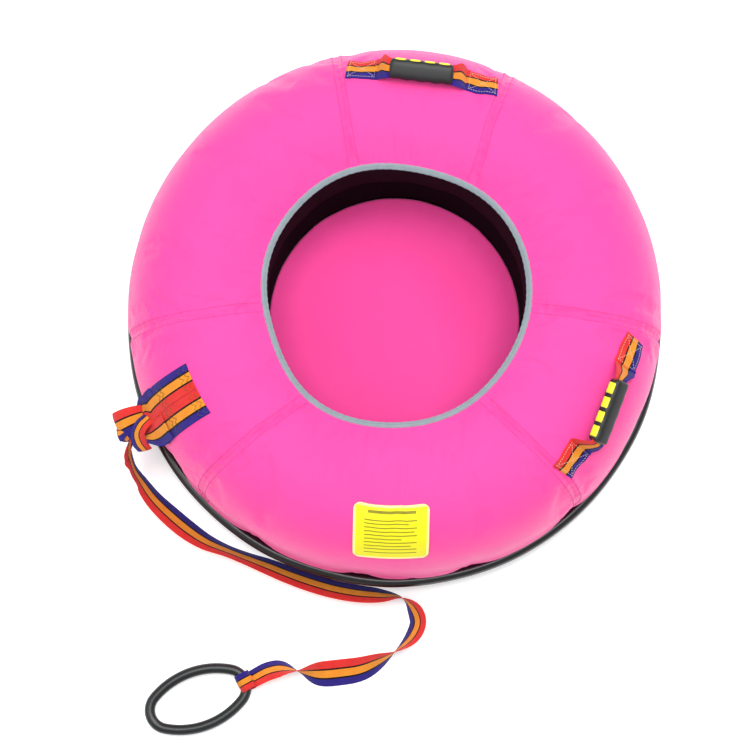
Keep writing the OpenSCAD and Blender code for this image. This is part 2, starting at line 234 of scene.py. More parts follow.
def pink_cloth():
    paint = Paint("coated_pink_cloth", Specular_IOR_Level=0.35, Sheen_Weight=0.25,
                  Sheen_Roughness=0.4)
    _, u, v = paint.across()
    place = paint.place()
    broad = paint.noise(place, 3.5, 4.0)
    fine = paint.noise(place, 60.0, 3.0)
    scuff = paint.noise(place, 18.0, 5.0, 0.65)
    base = paint.mix(broad, tint(250, 60, 150), tint(252, 72, 160))
    base = paint.mix(fine * 0.25, base, tint(240, 50, 138))
    weave = weave_height(u, v, 1.1 * MM)
    ripples = paint.noise(place, 9.0, 3.0, 0.5)
    soft = paint.bump(ripples, 0.006, 0.35)
    normal = paint.bump(weave, 0.00025, 0.5, soft)
    return paint.finish(Base_Color=base, Roughness=0.42 + scuff * 0.2, Normal=normal)


STRIPE_EDGES = (0.305, 0.37, 0.655, 0.72)          # where the dark pinstripes begin and end
WEB_W = 50 * MM


def striped_webbing():
    """Red, orange and blue stripes, parted by black pinstripes, on ribbed flat webbing."""
    paint = Paint("striped_webbing", Specular_IOR_Level=0.2, Sheen_Weight=0.08,
                  Sheen_Roughness=0.5)
    uv, u, v = paint.across()
    share = u / WEB_W
    fuzz = paint.noise(uv, 900.0, 2.0)
    worn = paint.noise(uv, 40.0, 4.0)
    red = paint.mix(worn, tint(214, 30, 38), tint(236, 66, 54))
    orange = paint.mix(worn, tint(230, 128, 28), tint(248, 166, 54))
    blue = paint.mix(worn, tint(28, 20, 104), tint(56, 40, 146))
    black = tint(12, 3, 8)
    wander = (fuzz - 0.5) * 0.02
    edge = share + wander
    colour = paint.mix(edge > STRIPE_EDGES[1], red, orange)
    colour = paint.mix(edge > STRIPE_EDGES[3], colour, blue)
    first = (edge > STRIPE_EDGES[0]) * (edge < STRIPE_EDGES[1])
    second = (edge > STRIPE_EDGES[2]) * (edge < STRIPE_EDGES[3])
    colour = paint.mix(first + second, colour, black)
    ribs = (v * (2 * math.pi / (1.6 * MM))).sin()
    twill = ((u + v) * (2 * math.pi / (2.2 * MM))).sin()
    normal = paint.bump(ribs * 0.6 + twill * 0.4 + fuzz * 0.6, 0.0004, 0.7)
    # The colour is also darkened in step with the ribs, which is painted shade on the ribbed
    # weave.
    shade = paint.mix((ribs * 0.5 + 0.5) * 0.22, colour, black)
    return paint.finish(Base_Color=shade, Roughness=0.72 + fuzz * 0.2, Normal=normal)


def plain_tape(name, dark, light, pitch):
    """Ribbed woven tape in one yarn colour."""
    paint = Paint(name, Specular_IOR_Level=0.25, Sheen_Weight=0.2)
    uv, u, v = paint.across()
    yarn = (v * (2 * math.pi / pitch)).sin() * 0.5 + 0.5
    worn = paint.noise(uv, 55.0, 4.0)
    colour = paint.mix(yarn * 0.6 + worn * 0.4, dark, light)
    normal = paint.bump(weave_height(u, v, pitch) + worn, 0.0005, 0.8)
    return paint.finish(Base_Color=colour, Roughness=0.8 + worn * 0.1, Normal=normal)


def pile(name, dark, light):
    """Fuzzy loop pile: no gloss, and a deep ragged bump."""
    paint = Paint(name, Specular_IOR_Level=0.05)
    place = paint.place()
    loops = paint.noise(place, 700.0, 4.0, 0.7)
    clumps = paint.noise(place, 70.0, 4.0, 0.6)
    colour = paint.mix(loops * 0.7 + clumps * 0.3, dark, light)
    normal = paint.bump(loops + clumps * 0.5, 0.0025, 0.9)
    return paint.finish(Base_Color=colour, Roughness=0.95, Normal=normal)

# %% Rubber, plastic and metal
def moulded(name, dark, light, gloss, depth=0.0002, coat=0.0):
    """Rubber or plastic: slight mottling, and gloss that varies with handling."""
    paint = Paint(name, Specular_IOR_Level=0.5, Coat_Weight=coat, Coat_Roughness=0.15)
    place = paint.place()
    cloudy = paint.noise(place, 14.0, 5.0)
    grainy = paint.noise(place, 260.0, 4.0, 0.6)
    colour = paint.mix(cloudy, dark, light)
    normal = paint.bump(grainy * 0.7 + cloudy * 0.3, depth, 0.7)
    return paint.finish(Base_Color=colour, Roughness=gloss + cloudy * 0.14 + grainy * 0.06,
                        Normal=normal)


def metal(name, colour, gloss):
    paint = Paint(name, Metallic=1.0)
    place = paint.place()
    brushed = paint.noise(place, 420.0, 3.0)
    shade = paint.mix(brushed * 0.5, colour, tint(120, 118, 112))
    return paint.finish(Base_Color=shade, Roughness=gloss + brushed * 0.2,
                        Normal=paint.bump(brushed, 0.0001, 0.5))


PINK = pink_cloth()
WEBBING = striped_webbing()
GREY_TAPE = plain_tape("grey_binding_tape", tint(112, 128, 136), tint(176, 190, 196), 1.6 * MM)
BROWN_BAND = pile("dark_closing_band", tint(20, 6, 12), tint(58, 30, 44))
BLACK_PILE = pile("black_loop_pile", tint(4, 2, 5), tint(26, 16, 24))
GREY_THREAD = pile("grey_thread", tint(96, 108, 116), tint(150, 162, 168))
RIM_GLOSS = moulded("glossy_rim_rubber", tint(6, 7, 8), tint(14, 16, 17), 0.2, coat=0.3)
PAN_BLACK = moulded("black_pan_plastic", tint(14, 14, 15), tint(30, 30, 32), 0.34)
RING_RUBBER = moulded("tow_ring_rubber", tint(10, 14, 15), tint(24, 29, 29), 0.26)
GRIP_RUBBER = moulded("grip_rubber", tint(12, 13, 14), tint(30, 31, 32), 0.42, depth=0.0003)
PAD_YELLOW = moulded("yellow_finger_pad", tint(222, 208, 20), tint(244, 236, 60), 0.34)
RIVET_STEEL = metal("rivet_steel", tint(200, 200, 202), 0.28)
BRASS = metal("valve_brass", tint(206, 170, 92), 0.3)
BUTYL = moulded("butyl_rubber", tint(20, 20, 22), tint(40, 40, 42), 0.5)
FOAM = pile("seat_foam", tint(200, 194, 172), tint(228, 222, 204))
DARK_THREAD = pile("dark_pink_thread", tint(96, 20, 66), tint(168, 50, 116))
PALE_THREAD = pile("pale_thread", tint(196, 176, 150), tint(236, 222, 204))
GREEN_THREAD = pile("dark_green_thread", tint(50, 50, 20), tint(130, 120, 60))
print(len(bpy.data.materials), "finishes")

# %% [markdown]
# ## From points to a piece
# Every piece here is a grid of points that bends: a revolved ring, a ribbon or a loft. One
# function turns rows of points into faces and gives them a UV map in metres, so that weave and
# stripes keep their real size on every piece.

# %% Grid pieces
def new_piece(name, mesh, material):
    piece = bpy.data.objects.new(name, mesh)
    bpy.context.scene.collection.objects.link(piece)
    mesh.materials.clear()
    mesh.materials.append(material)
    return piece


def grid_mesh(name, rows, uv, close_rows=False, close_columns=False, flip=False):
    """A mesh from an array of points, rows by columns by three, and its UVs in metres.
    A closed direction's UVs have one more row or column than its points."""
    rows = np.asarray(rows, float)
    uv = np.asarray(uv, float)
    count, wide = rows.shape[:2]
    i = np.arange(count if close_rows else count - 1)
    j = np.arange(wide if close_columns else wide - 1)
    i, j = np.meshgrid(i, j, indexing="ij")
    i, j = i.ravel(), j.ravel()
    i1, j1 = (i + 1), (j + 1)
    corners = [(i, j), (i1, j), (i1, j1), (i, j1)]
    if flip:
        corners = corners[::-1]
    faces = np.stack([(a % count) * wide + (b % wide) for a, b in corners], 1)
    mesh = bpy.data.meshes.new(name)
    mesh.from_pydata(rows.reshape(-1, 3).tolist(), [], faces.tolist())
    layer = mesh.uv_layers.new(name="cloth")
    across = np.stack([uv[a, b] for a, b in corners], 1)
    layer.data.foreach_set("uv", across.reshape(-1).astype(np.float32))
    mesh.polygons.foreach_set("use_smooth", np.ones(len(mesh.polygons), bool))
    mesh.update()
    return mesh


def grid_piece(name, rows, uv, material, **closed):
    return new_piece(name, grid_mesh(name, rows, uv, **closed), material)


def thicken(piece, thickness):
    """Gives an open sheet its thickness, inwards, and keeps the result as a mesh."""
    modifier = piece.modifiers.new("thickness", "SOLIDIFY")
    modifier.thickness = thickness
    modifier.offset = -1.0
    modifier.use_rim = True
    return bake(piece)


def bake(piece):
    """Replaces a piece's mesh by what its modifiers make of it."""
    graph = bpy.context.evaluated_depsgraph_get()
    made = bpy.data.meshes.new_from_object(piece.evaluated_get(graph))
    piece.modifiers.clear()
    old, piece.data = piece.data, made
    if old.users == 0:
        bpy.data.meshes.remove(old)
    return piece


def hand_over(piece, body, nodes):
    """Puts a finished piece on its body in place of CAD nodes."""
    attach(piece, body)
    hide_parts(*nodes)
    triangles = sum(len(p.vertices) - 2 for p in piece.data.polygons)
    print(f"{piece.name}: {triangles} triangles on {body}")


def smooth_between(low, high, value):
    t = np.clip((value - low) / (high - low), 0, 1)
    return t * t * (3 - 2 * t)


def unit(vectors):
    """Vectors of length 1 with the same directions."""
    vectors = np.asarray(vectors, float)
    return vectors / np.linalg.norm(vectors, axis=-1, keepdims=True)


def ring_points(r, theta, z):
    """Points at radius r, direction theta and height z."""
    return np.stack(np.broadcast_arrays(r * np.cos(theta), r * np.sin(theta), z), -1)


def lengths(points):
    """How far along a row each point lies, in metres."""
    steps = np.linalg.norm(np.diff(points, axis=0), axis=1)
    return np.concatenate([[0], np.cumsum(steps)])

# %% [markdown]
# ## The tow strap
# The strap is flat webbing, fifty millimetres wide, so it is a ribbon and not a rope. Its middle
# line follows the route that the imported model's plain tube takes: down from the knot, round the
# rim on the ground, back on itself in a flat fold, and on to the ring. At each point the ribbon
# also leans, from lying flat to standing on its edge, and the leans are listed too.

# %% Route of the tow strap, in metres, with its lean in degrees at each point
STRAP_ROUTE = [
    (-0.478, -0.242, 0.126), (-0.483, -0.254, 0.094), (-0.485, -0.266, 0.062),
    (-0.480, -0.286, 0.034), (-0.466, -0.308, 0.015), (-0.444, -0.337, 0.012),
    (-0.414, -0.366, 0.012), (-0.381, -0.393, 0.012), (-0.347, -0.415, 0.012),
    (-0.309, -0.431, 0.012), (-0.270, -0.446, 0.012), (-0.232, -0.460, 0.012),
    (-0.194, -0.475, 0.012), (-0.154, -0.489, 0.012), (-0.112, -0.501, 0.012),
    (-0.068, -0.509, 0.012), (-0.026, -0.513, 0.012), (0.012, -0.517, 0.012),
    (0.034, -0.537, 0.012), (0.042, -0.562, 0.012), (0.031, -0.588, 0.012),
    (0.007, -0.610, 0.012), (-0.027, -0.630, 0.012), (-0.062, -0.645, 0.012),
    (-0.098, -0.651, 0.012), (-0.136, -0.654, 0.012), (-0.172, -0.650, 0.012),
    (-0.205, -0.645, 0.012), (-0.232, -0.650, 0.012), (-0.258, -0.663, 0.013)]
STRAP_LEANS = [
    96, 92, 86, 76, 62, 50, 42, 42, 50, 60, 58, 50, 46, 44, 44, 46, 56, 84, 118, 126,
    122, 100, 60, 32, 22, 30, 84, 126, 140, 150]
STRAP_T = 1.8 * MM
RIBBON_COLUMNS = 12


def curve_through(points, steps):
    """A smooth line through points, `steps` samples to each stretch (Catmull-Rom)."""
    p = np.asarray(points, float)
    p = np.vstack([2 * p[0] - p[1], p, 2 * p[-1] - p[-2]])
    t = np.linspace(0, 1, steps, endpoint=False)[:, None]
    out = []
    for a, b, c, d in zip(p[:-3], p[1:-2], p[2:-1], p[3:]):
        out.append(0.5 * (2 * b + (c - a) * t + (2 * a - 5 * b + 4 * c - d) * t ** 2
                          + (3 * b - a - 3 * c + d) * t ** 3))
    return np.vstack([*out, p[-2][None]])


def directions(line):
    return unit(np.gradient(line, axis=0))


def ribbon_piece(name, line, across, width, thickness, flip_stripes=False, crown=0.0):
    """Striped webbing along a line: a closed, slightly crowned band with rounded edges."""
    line, across = np.asarray(line, float), unit(across)
    width = np.broadcast_to(width, (len(line),))
    up = unit(np.cross(directions(line), across))
    half = np.linspace(-0.5, 0.5, RIBBON_COLUMNS)
    edge = np.sqrt(np.clip(1 - (np.abs(half) * 2) ** 8, 0, 1)) * 0.5
    around = np.concatenate([half, half[::-1]])
    height = np.concatenate([edge, -edge[::-1]])
    arch = crown * (1 - (2 * around) ** 2)
    rows = (line[:, None] + across[:, None] * (around[:, None] * width[:, None, None])
            + up[:, None] * (height * thickness + arch)[None, :, None])
    share = (0.5 - around) if flip_stripes else (0.5 + around)
    share = np.append(share, share[0]) * WEB_W
    uv = np.stack(np.broadcast_arrays(share[None, :], lengths(line)[:, None]), 2)
    return cap_ends(grid_piece(name, rows, uv, WEBBING, close_columns=True))


def cap_ends(piece, close=True):
    """Closes the open ends of a band or tube, if asked, and turns all faces outwards."""
    work = bmesh.new()
    work.from_mesh(piece.data)
    if close:
        bmesh.ops.holes_fill(work, edges=[e for e in work.edges if e.is_boundary], sides=0)
    bmesh.ops.recalc_face_normals(work, faces=work.faces)
    work.to_mesh(piece.data)
    work.free()
    return piece


def leaning_across(line, leans):
    """The ribbon's crosswise direction: level and square to the line, then leant."""
    ahead = directions(line)
    level = unit(np.cross(ahead, [0, 0, 1.0]))
    up = np.cross(level, ahead)
    turn = np.radians(leans)[:, None]
    return level * np.cos(turn) + up * np.sin(turn)


STRAP_STEPS = 8
WRAP_TOP = (-0.271, -0.668, 0.0250)
strap_line = curve_through([*STRAP_ROUTE, WRAP_TOP], STRAP_STEPS)
strap_leans = curve_through([(a, 0, 0) for a in [*STRAP_LEANS, 170]], STRAP_STEPS)[:, 0]
strap_width = WEB_W - 16 * MM * smooth_between(27 * STRAP_STEPS, 30 * STRAP_STEPS,
                                               np.arange(len(strap_line)))
strap_across = leaning_across(strap_line, strap_leans)
on_ground = np.arange(len(strap_line)) > 4 * STRAP_STEPS
edge_drop = np.abs(strap_across[:, 2]) * WEB_W / 2 + STRAP_T / 2
strap_line[:, 2] = np.where(on_ground, np.maximum(edge_drop + 0.5 * MM, 2 * MM), strap_line[:, 2])
for _ in range(6):
    strap_line[1:-1, 2] = (strap_line[:-2, 2] + 2 * strap_line[1:-1, 2] + strap_line[2:, 2]) / 4
strap_line[:, 2] = np.maximum(strap_line[:, 2], edge_drop + 0.5 * MM)
tow_strap = ribbon_piece("tow_strap_webbing", strap_line, strap_across, strap_width, STRAP_T,
                         flip_stripes=True)
hand_over(tow_strap, "root", ["tow_strap"])

# %% [markdown]
# ## The shape of the inflated ring
# An inflated ring pulls its cloth into arcs: a flat one that falls to the seat hole, a tight one
# over the shoulder, and a nearly straight one down to the hem. A point of the jacket is named by
# its direction round the ring and by its distance along this section from the hole's edge, so
# that seams, stitches, label and webbing can all be laid on the same surface.

# %% Section of the jacket
EDGE_R = HOLE_R + BINDING_R * 0.8
slope_in, slope_down = CROWN_R - HOLE_R, BINDING_Z - BELLY_Z
INNER_R = SHOULDER_R + ((slope_in ** 2 + slope_down ** 2 - SHOULDER_R ** 2)
                        / (2 * (SHOULDER_R - slope_down)))
FLANK_DROP, FLANK_IN = BELLY_Z - PAN_H, BELLY_R - HEM_R
FLANK_R = (FLANK_DROP ** 2 + FLANK_IN ** 2) / (2 * FLANK_IN)
S_CROWN = INNER_R * math.asin((CROWN_R - EDGE_R) / INNER_R)
S_BELLY = S_CROWN + SHOULDER_R * math.pi / 2
S_PAN = S_BELLY + FLANK_R * math.asin(FLANK_DROP / FLANK_R)
S_HEM = S_PAN + 30 * MM
print(f"section: crown {S_CROWN:.3f}, belly {S_BELLY:.3f}, hem {S_HEM:.3f} m")


def section(s):
    """Radius, height and outward normal of the plain section at distance s."""
    s = np.asarray(s, float)
    inner = (S_CROWN - s) / INNER_R
    shoulder = (s - S_CROWN) / SHOULDER_R
    flank = np.clip((s - S_BELLY) / FLANK_R, 0, None)
    parts = [s < S_CROWN, s < S_BELLY, s < S_PAN]
    r = np.select(parts, [CROWN_R - INNER_R * np.sin(inner),
                          CROWN_R + SHOULDER_R * np.sin(shoulder),
                          BELLY_R - FLANK_R * (1 - np.cos(flank))], HEM_R)
    z = np.select(parts, [CROWN_Z - INNER_R * (1 - np.cos(inner)),
                          BELLY_Z + SHOULDER_R * np.cos(shoulder),
                          BELLY_Z - FLANK_R * np.sin(flank)], PAN_H - (s - S_PAN))
    nr = np.select(parts[:2], [-np.sin(inner), np.sin(shoulder)], 1.0)
    nz = np.select(parts, [np.cos(inner), np.cos(shoulder), -np.sin(flank)], 0.0)
    return r, z, nr, nz


def place_on_section(point):
    """Direction and distance along the section of the jacket's point nearest to a point."""
    point = np.asarray(point, float)
    r = np.hypot(point[..., 0], point[..., 1])
    outer = np.arctan2(r - CROWN_R, point[..., 2] - BELLY_Z)
    inner = np.arctan2(CROWN_R - r, point[..., 2] - (CROWN_Z - INNER_R))
    s = np.where(r >= CROWN_R, S_CROWN + SHOULDER_R * outer, S_CROWN - INNER_R * inner)
    return np.arctan2(point[..., 1], point[..., 0]), s

# %% [markdown]
# ## Seams, tucks and folds
# Sewing pulls a seam below the cloth beside it, and each rivet of the hem gathers a few short
# folds. Both are sums of small bumps across the surface. The seams are not straight spokes, so
# each has its direction at three radii, and the hole's edge wanders by a few millimetres, as a
# sum of waves.

# %% Seams, hole edge and hem
SEAM_RADII = (0.235, 0.340, 0.460)
SEAMS = np.radians([(-6.5, -8.0, -7.9), (55.6, 60.9, 63.5), (107.7, 105.4, 103.3),
                    (186.2, 187.3, 187.6), (230.2, 226.6, 224.5), (308.6, 310.2, 312.0)])
EDGE_WAVES = ((3, 3.7, 14.7), (4, 1.4, 41.9), (6, 1.3, -9.9), (5, 1.2, 24.8), (2, 1.1, 68.0))
RIVETS = 15
FIRST_RIVET = math.radians(46.5)
RIVET_STEP = 2 * math.pi / RIVETS


def seam_direction(k, r):
    """Direction of seam k at radius r; after the last seam comes the first, a turn later."""
    turn, k = divmod(k, len(SEAMS))
    return np.interp(r, SEAM_RADII, SEAMS[k]) + turn * 2 * math.pi


def edge_wander(theta):
    return sum(size * MM * np.cos(k * (theta - math.radians(turn)))
               for k, size, turn in EDGE_WAVES)


def hill(x, width):
    return np.exp(-(x / width) ** 2)


def apart(theta, direction, r):
    """Distance across the surface from a line that runs in a direction, in metres."""
    turn = (theta - direction + math.pi) % (2 * math.pi) - math.pi
    return turn * r


def sewn_relief(theta, s, r):
    """Height of tucks and folds above the plain section."""
    sewn = np.clip((s - 4 * MM) / (20 * MM), 0, 1) * np.clip((S_PAN - s) / (30 * MM), 0, 1)
    relief = np.zeros(np.broadcast(theta, s).shape)
    for k in range(len(SEAMS)):
        across = apart(theta, seam_direction(k, r), r)
        relief -= 1.5 * MM * hill(across, 6 * MM) * sewn
        relief += 0.7 * MM * hill(np.abs(across) - 22 * MM, 14 * MM) * sewn
        puckers = np.sin(s * 2 * math.pi / (17 * MM) + 2 * k + np.sin(s * 47))
        relief += 0.55 * MM * puckers * hill(across, 16 * MM) * sewn
    share = ((theta - FIRST_RIVET) / RIVET_STEP) % 1.0
    off = np.minimum(share, 1 - share)
    low = smooth_between(S_BELLY - 75 * MM, S_PAN - 22 * MM, s)
    skirt = low * (1 - smooth_between(S_PAN - 6 * MM, S_PAN + 4 * MM, s))
    puff = 1 - np.exp(-(off / 0.17) ** 2)
    relief += (3.4 * puff + 0.4) * MM * skirt
    relief += 8.0 * MM * (0.78 + 0.22 * puff) * hill(s - (S_PAN - 8 * MM), 19 * MM)
    nearest = np.where(share > 0.5, share - 1, share) * RIVET_STEP * r
    rise = np.clip(S_PAN - s, 0, None)
    for m, depth in ((-2, 0.9), (-1, 1.7), (0, 1.9), (1, 1.5), (2, 1.1)):
        line = nearest - m * (9 * MM + rise * 0.34)
        reach = hill(rise, (70 + 22 * math.cos(m * 2.0)) * MM)
        relief -= (depth * MM * hill(line, 4.5 * MM + rise * 0.05) * reach * low
                   * (1 - 0.8 * hill(s - S_PAN, 24 * MM)))
    gathers = np.sin(theta * 118) + 0.6 * np.sin(theta * 71 + 1.0)
    relief += 0.22 * MM * gathers * (1 - smooth_between(0, 45 * MM, s))
    relief += 1.1 * MM * np.sin(3 * theta + 0.7) * np.sin(s * 13)
    return relief


EASED = {"table": None}          # what the cloth simulation adds, once it has run


def jacket_point(theta, s, lift=0.0):
    """Points of the finished jacket surface, raised by lift along its normal."""
    theta, s = np.broadcast_arrays(np.asarray(theta, float), np.asarray(s, float))
    r, z, nr, nz = section(s)
    up = sewn_relief(theta, s, r) + lift
    wander = edge_wander(theta) * (1 - smooth_between(0, 105 * MM, s))
    r = r + nr * up + wander
    z = z + nz * up
    if EASED["table"] is not None:
        dr, dz = look_up(EASED["table"], theta, s)
        r, z = r + dr, z + dz
    return ring_points(r, theta, z)


def look_up(table, theta, s):
    """Reads a table of moves, direction by distance, between its own points."""
    turns, steps = table.shape[:2]
    a = (theta / (2 * math.pi) % 1.0) * turns
    b = np.clip(s / S_PAN, 0, 1) * (steps - 1)
    a0, b0 = np.floor(a).astype(int), np.minimum(np.floor(b).astype(int), steps - 2)
    fa, fb = (a - a0)[..., None], (b - b0)[..., None]
    a1 = (a0 + 1) % turns
    a0 = a0 % turns
    moved = ((table[a0, b0] * (1 - fa) + table[a1, b0] * fa) * (1 - fb)
             + (table[a0, b0 + 1] * (1 - fa) + table[a1, b0 + 1] * fa) * fb)
    return moved[..., 0], moved[..., 1]

# %% [markdown]
# ## Letting the cloth settle
# The sewn shape above is too regular for cloth. A cloth simulation of the whole jacket, blown up
# by a little pressure and cut about two per cent too large, folds by itself where the seams and
# its two edges hold it. Only how far it moved is kept, as a table, and that move is capped, so
# each panel can be cut from the settled surface afterwards.

# %% Cloth simulation of the jacket
SETTLE_FRAMES = 18
SETTLE_CAP = 3.2 * MM
SETTLE_TURNS, SETTLE_STEPS = 300, 60
OVERSIZE = 0.022
SEAM_HOLD = 0.55


def settle_jacket():
    theta = np.arange(SETTLE_TURNS) * 2 * math.pi / SETTLE_TURNS
    s = np.linspace(0, S_PAN, SETTLE_STEPS)
    start = jacket_point(theta[:, None], s[None, :])
    rows = np.swapaxes(start, 0, 1)
    flat_uv = np.zeros((SETTLE_STEPS, SETTLE_TURNS + 1, 2))
    cloth = grid_piece("settling", rows, flat_uv, PINK, close_columns=True)
    held = cloth.vertex_groups.new(name="held")
    order = np.arange(SETTLE_STEPS * SETTLE_TURNS).reshape(SETTLE_STEPS, SETTLE_TURNS)
    held.add(order[[0, 1, -2, -1]].ravel().tolist(), 1.0, "REPLACE")
    r = section(s)[0]
    for k in range(len(SEAMS)):
        columns = np.round(seam_direction(k, r) / (2 * math.pi) * SETTLE_TURNS).astype(int)
        held.add(order[np.arange(SETTLE_STEPS), columns % SETTLE_TURNS].tolist(), SEAM_HOLD,
                 "REPLACE")
    modifier = cloth.modifiers.new("cloth", "CLOTH")
    modifier.settings.vertex_group_mass = "held"
    modifier.settings.use_pressure = True
    modifier.settings.uniform_pressure_force = 3.0
    modifier.settings.shrink_min = -OVERSIZE
    modifier.settings.shrink_max = -OVERSIZE
    modifier.settings.quality = 6
    modifier.settings.mass = 0.12
    modifier.settings.bending_stiffness = 0.25
    modifier.settings.effector_weights.gravity = 0
    modifier.point_cache.frame_start = 1
    modifier.point_cache.frame_end = SETTLE_FRAMES
    scene = bpy.context.scene
    for frame_number in range(1, SETTLE_FRAMES + 1):
        scene.frame_set(frame_number)
    graph = bpy.context.evaluated_depsgraph_get()
    moved = cloth.evaluated_get(graph).to_mesh()
    where = np.empty(len(moved.vertices) * 3)
    moved.vertices.foreach_get("co", where)
    where = np.swapaxes(where.reshape(SETTLE_STEPS, SETTLE_TURNS, 3), 0, 1)
    out = np.hypot(where[..., 0], where[..., 1]) - np.hypot(start[..., 0], start[..., 1])
    up = where[..., 2] - start[..., 2]
    move = np.stack([out, up], -1)
    size = np.linalg.norm(move, axis=2, keepdims=True)
    move *= np.tanh(size / SETTLE_CAP) * SETTLE_CAP / np.maximum(size, 1e-9)
    scene.frame_set(1)
    bpy.data.objects.remove(cloth)
    print(f"cloth moved {size.mean() * 1000:.1f} mm on average, {size.max() * 1000:.1f} at most")
    return move


EASED["table"] = settle_jacket()

# %% [markdown]
# ## The six panels
# Each panel is a strip of the surface between two seams, one and a bit millimetres thick.

# %% Cut and thicken the panels
COVER_T = 1.2 * MM
PANEL_ROWS = 118
PANEL_STEP = math.radians(0.5)


def cover_panel(k):
    s = np.linspace(0, S_HEM, PANEL_ROWS)
    r = section(s)[0]
    start, end = seam_direction(k, r), seam_direction(k + 1, r)
    columns = int(round(float(np.max(end - start)) / PANEL_STEP)) + 1
    share = np.linspace(0, 1, columns)[None, :]
    share = 0.5 * share + 0.25 * (1 - np.cos(math.pi * share))      # finer beside the seams
    theta = start[:, None] + (end - start)[:, None] * share
    rows = jacket_point(theta, s[:, None])
    middle = (start + end)[:, None] / 2
    uv = np.stack([(theta - middle) * r[:, None], np.broadcast_to(s[:, None], theta.shape)], 2)
    panel = grid_piece(f"jacket_panel_{k + 1}", rows, uv, PINK)
    area = float(np.trapz((end - start) * r, s))
    widest = float(np.max((end - start) * r))
    thicken(panel, COVER_T)
    hand_over(panel, "root", [f"cover_panel_{k + 1}"])
    max(area, 0.301 * widest * S_HEM)


for k in range(len(SEAMS)):
    cover_panel(k)

# %% [markdown]
# ## Rings round the tube
# The binding, both closing bands, the seat's foam, the rim and the inner tube are each one
# section swept round the middle. The upper band, which is the hole's wall, follows the wandering
# edge at its top and hangs free below it.

# %% Swept rings
def round_section(r, z, half_w, half_h, tilt=0.0, steps=24, power=2.0):
    """A closed oval section, as (radius, height) pairs; a higher power is squarer."""
    a = np.linspace(0, 2 * math.pi, steps, endpoint=False)
    x = half_w * np.sign(np.cos(a)) * np.abs(np.cos(a)) ** (2 / power)
    y = half_h * np.sign(np.sin(a)) * np.abs(np.sin(a)) ** (2 / power)
    c, d = math.cos(tilt), math.sin(tilt)
    return np.stack([r + x * c - y * d, z + x * d + y * c], 1)


def swept_ring(name, outline, material, move=None, turns=360):
    """A closed outline swept round Z. `move` gives each point's shift outwards and upwards."""
    theta = np.linspace(0, 2 * math.pi, turns, endpoint=False)[:, None]
    r = np.broadcast_to(outline[None, :, 0], (turns, len(outline)))
    z = np.broadcast_to(outline[None, :, 1], r.shape)
    if move is not None:
        out, up = move(theta, r, z)
        r, z = r + out, z + up
    rows = ring_points(r, theta, z)
    around = lengths(np.vstack([outline, outline[:1]]))
    along = np.linspace(0, 2 * math.pi, turns + 1)[:, None] * outline[:, 0].mean()
    uv = np.stack(np.broadcast_arrays(around[None, :], along), 2)
    return cap_ends(grid_piece(name, rows, uv, material, close_rows=True, close_columns=True))


binding_outline = round_section(HOLE_R + 1.2 * MM, BINDING_Z + 0.6 * MM, 5.8 * MM, 3.4 * MM,
                                math.radians(24), 32, 2.6)
crest = np.argmax(binding_outline[:, 1] - 0.42 * binding_outline[:, 0])


def binding_move(theta, r, z):
    groove = -0.9 * MM * hill(r - binding_outline[crest, 0], 1.1 * MM) * (z > BINDING_Z)
    pucker = 0.35 * MM * np.sin(theta * 118)
    return edge_wander(theta) + pucker, groove + 0.4 * MM * np.sin(theta * 59 + 1)


binding = swept_ring("hole_binding_tape", binding_outline, GREY_TAPE, binding_move, 720)
hand_over(binding, "root", ["inner_binding"])

hook_low, hook_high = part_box("hook_band")
loop_low, loop_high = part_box("loop_band")


def flat_section(r, low, high, thickness, steps=16):
    z = np.linspace(low, high, steps)
    return np.vstack([np.stack([np.full(steps, r + thickness / 2), z], 1),
                      np.stack([np.full(steps, r - thickness / 2), z[::-1]], 1)])


def hanging_move(theta, r, z):
    drop = np.clip((BINDING_Z - z) / (BINDING_Z - hook_low.z), 0, 1)
    waves = 1.3 * np.sin(7 * theta + 0.4) + 0.9 * np.sin(17 * theta + 2.0)
    return edge_wander(theta) * (1 - 0.6 * drop) - 0.6 * MM + waves * drop ** 2 * 0.7 * MM, \
        np.sin(theta * 5) * drop * 1.5 * MM


hook_band = swept_ring(
    "upper_closing_band",
    flat_section((hook_low.x + hook_high.x) / 2 + hook_high.x - 1.2 * MM, hook_low.z,
                 BINDING_Z - 2 * MM, 1.6 * MM),
    BROWN_BAND, hanging_move, 480)
hand_over(hook_band, "root", ["hook_band"])


def standing_move(theta, r, z):
    rise = np.clip((z - SEAT_Z) / (loop_high.z - SEAT_Z), 0, 1)
    waves = 1.4 * np.sin(5 * theta + 1.0) + 0.8 * np.sin(13 * theta)
    return 0.3 * MM + edge_wander(theta) * 0.4 * rise + waves * 0.5 * MM, 0 * r


loop_band = swept_ring(
    "lower_closing_band",
    flat_section((hook_high.x + loop_high.x) / 2, loop_low.z, loop_high.z, 1.6 * MM, 24),
    BLACK_PILE, standing_move, 480)
hand_over(loop_band, "root", ["loop_band"])

# %% [markdown]
# ## The seat
# The seat is a disc of the same cloth laced over a foam pad. Weight and sewing have left it
# slightly full in the middle, with soft creases running in from its edge.

# %% Seat panel over its pad
SEAT_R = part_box("seat_panel")[1].x - 0.6 * MM


def seat_height(x, y):
    r, theta = np.hypot(x, y), np.arctan2(y, x)
    edge = smooth_between(0.55, 1.0, r / SEAT_R)
    full = 4.5 * MM * (1 - (r / SEAT_R) ** 2)
    creases = sum(size * np.sin(k * theta + turn) for k, size, turn in
                  ((9, 0.7, 0.3), (14, 0.5, 1.9), (23, 0.35, 0.8)))
    folds = 0.8 * MM * np.sin(x * 31 + 2 * np.sin(y * 17)) * (1 - edge)
    return SEAT_Z - 1.5 * MM + full + creases * edge * 1.4 * MM + folds - 3 * MM * edge ** 4


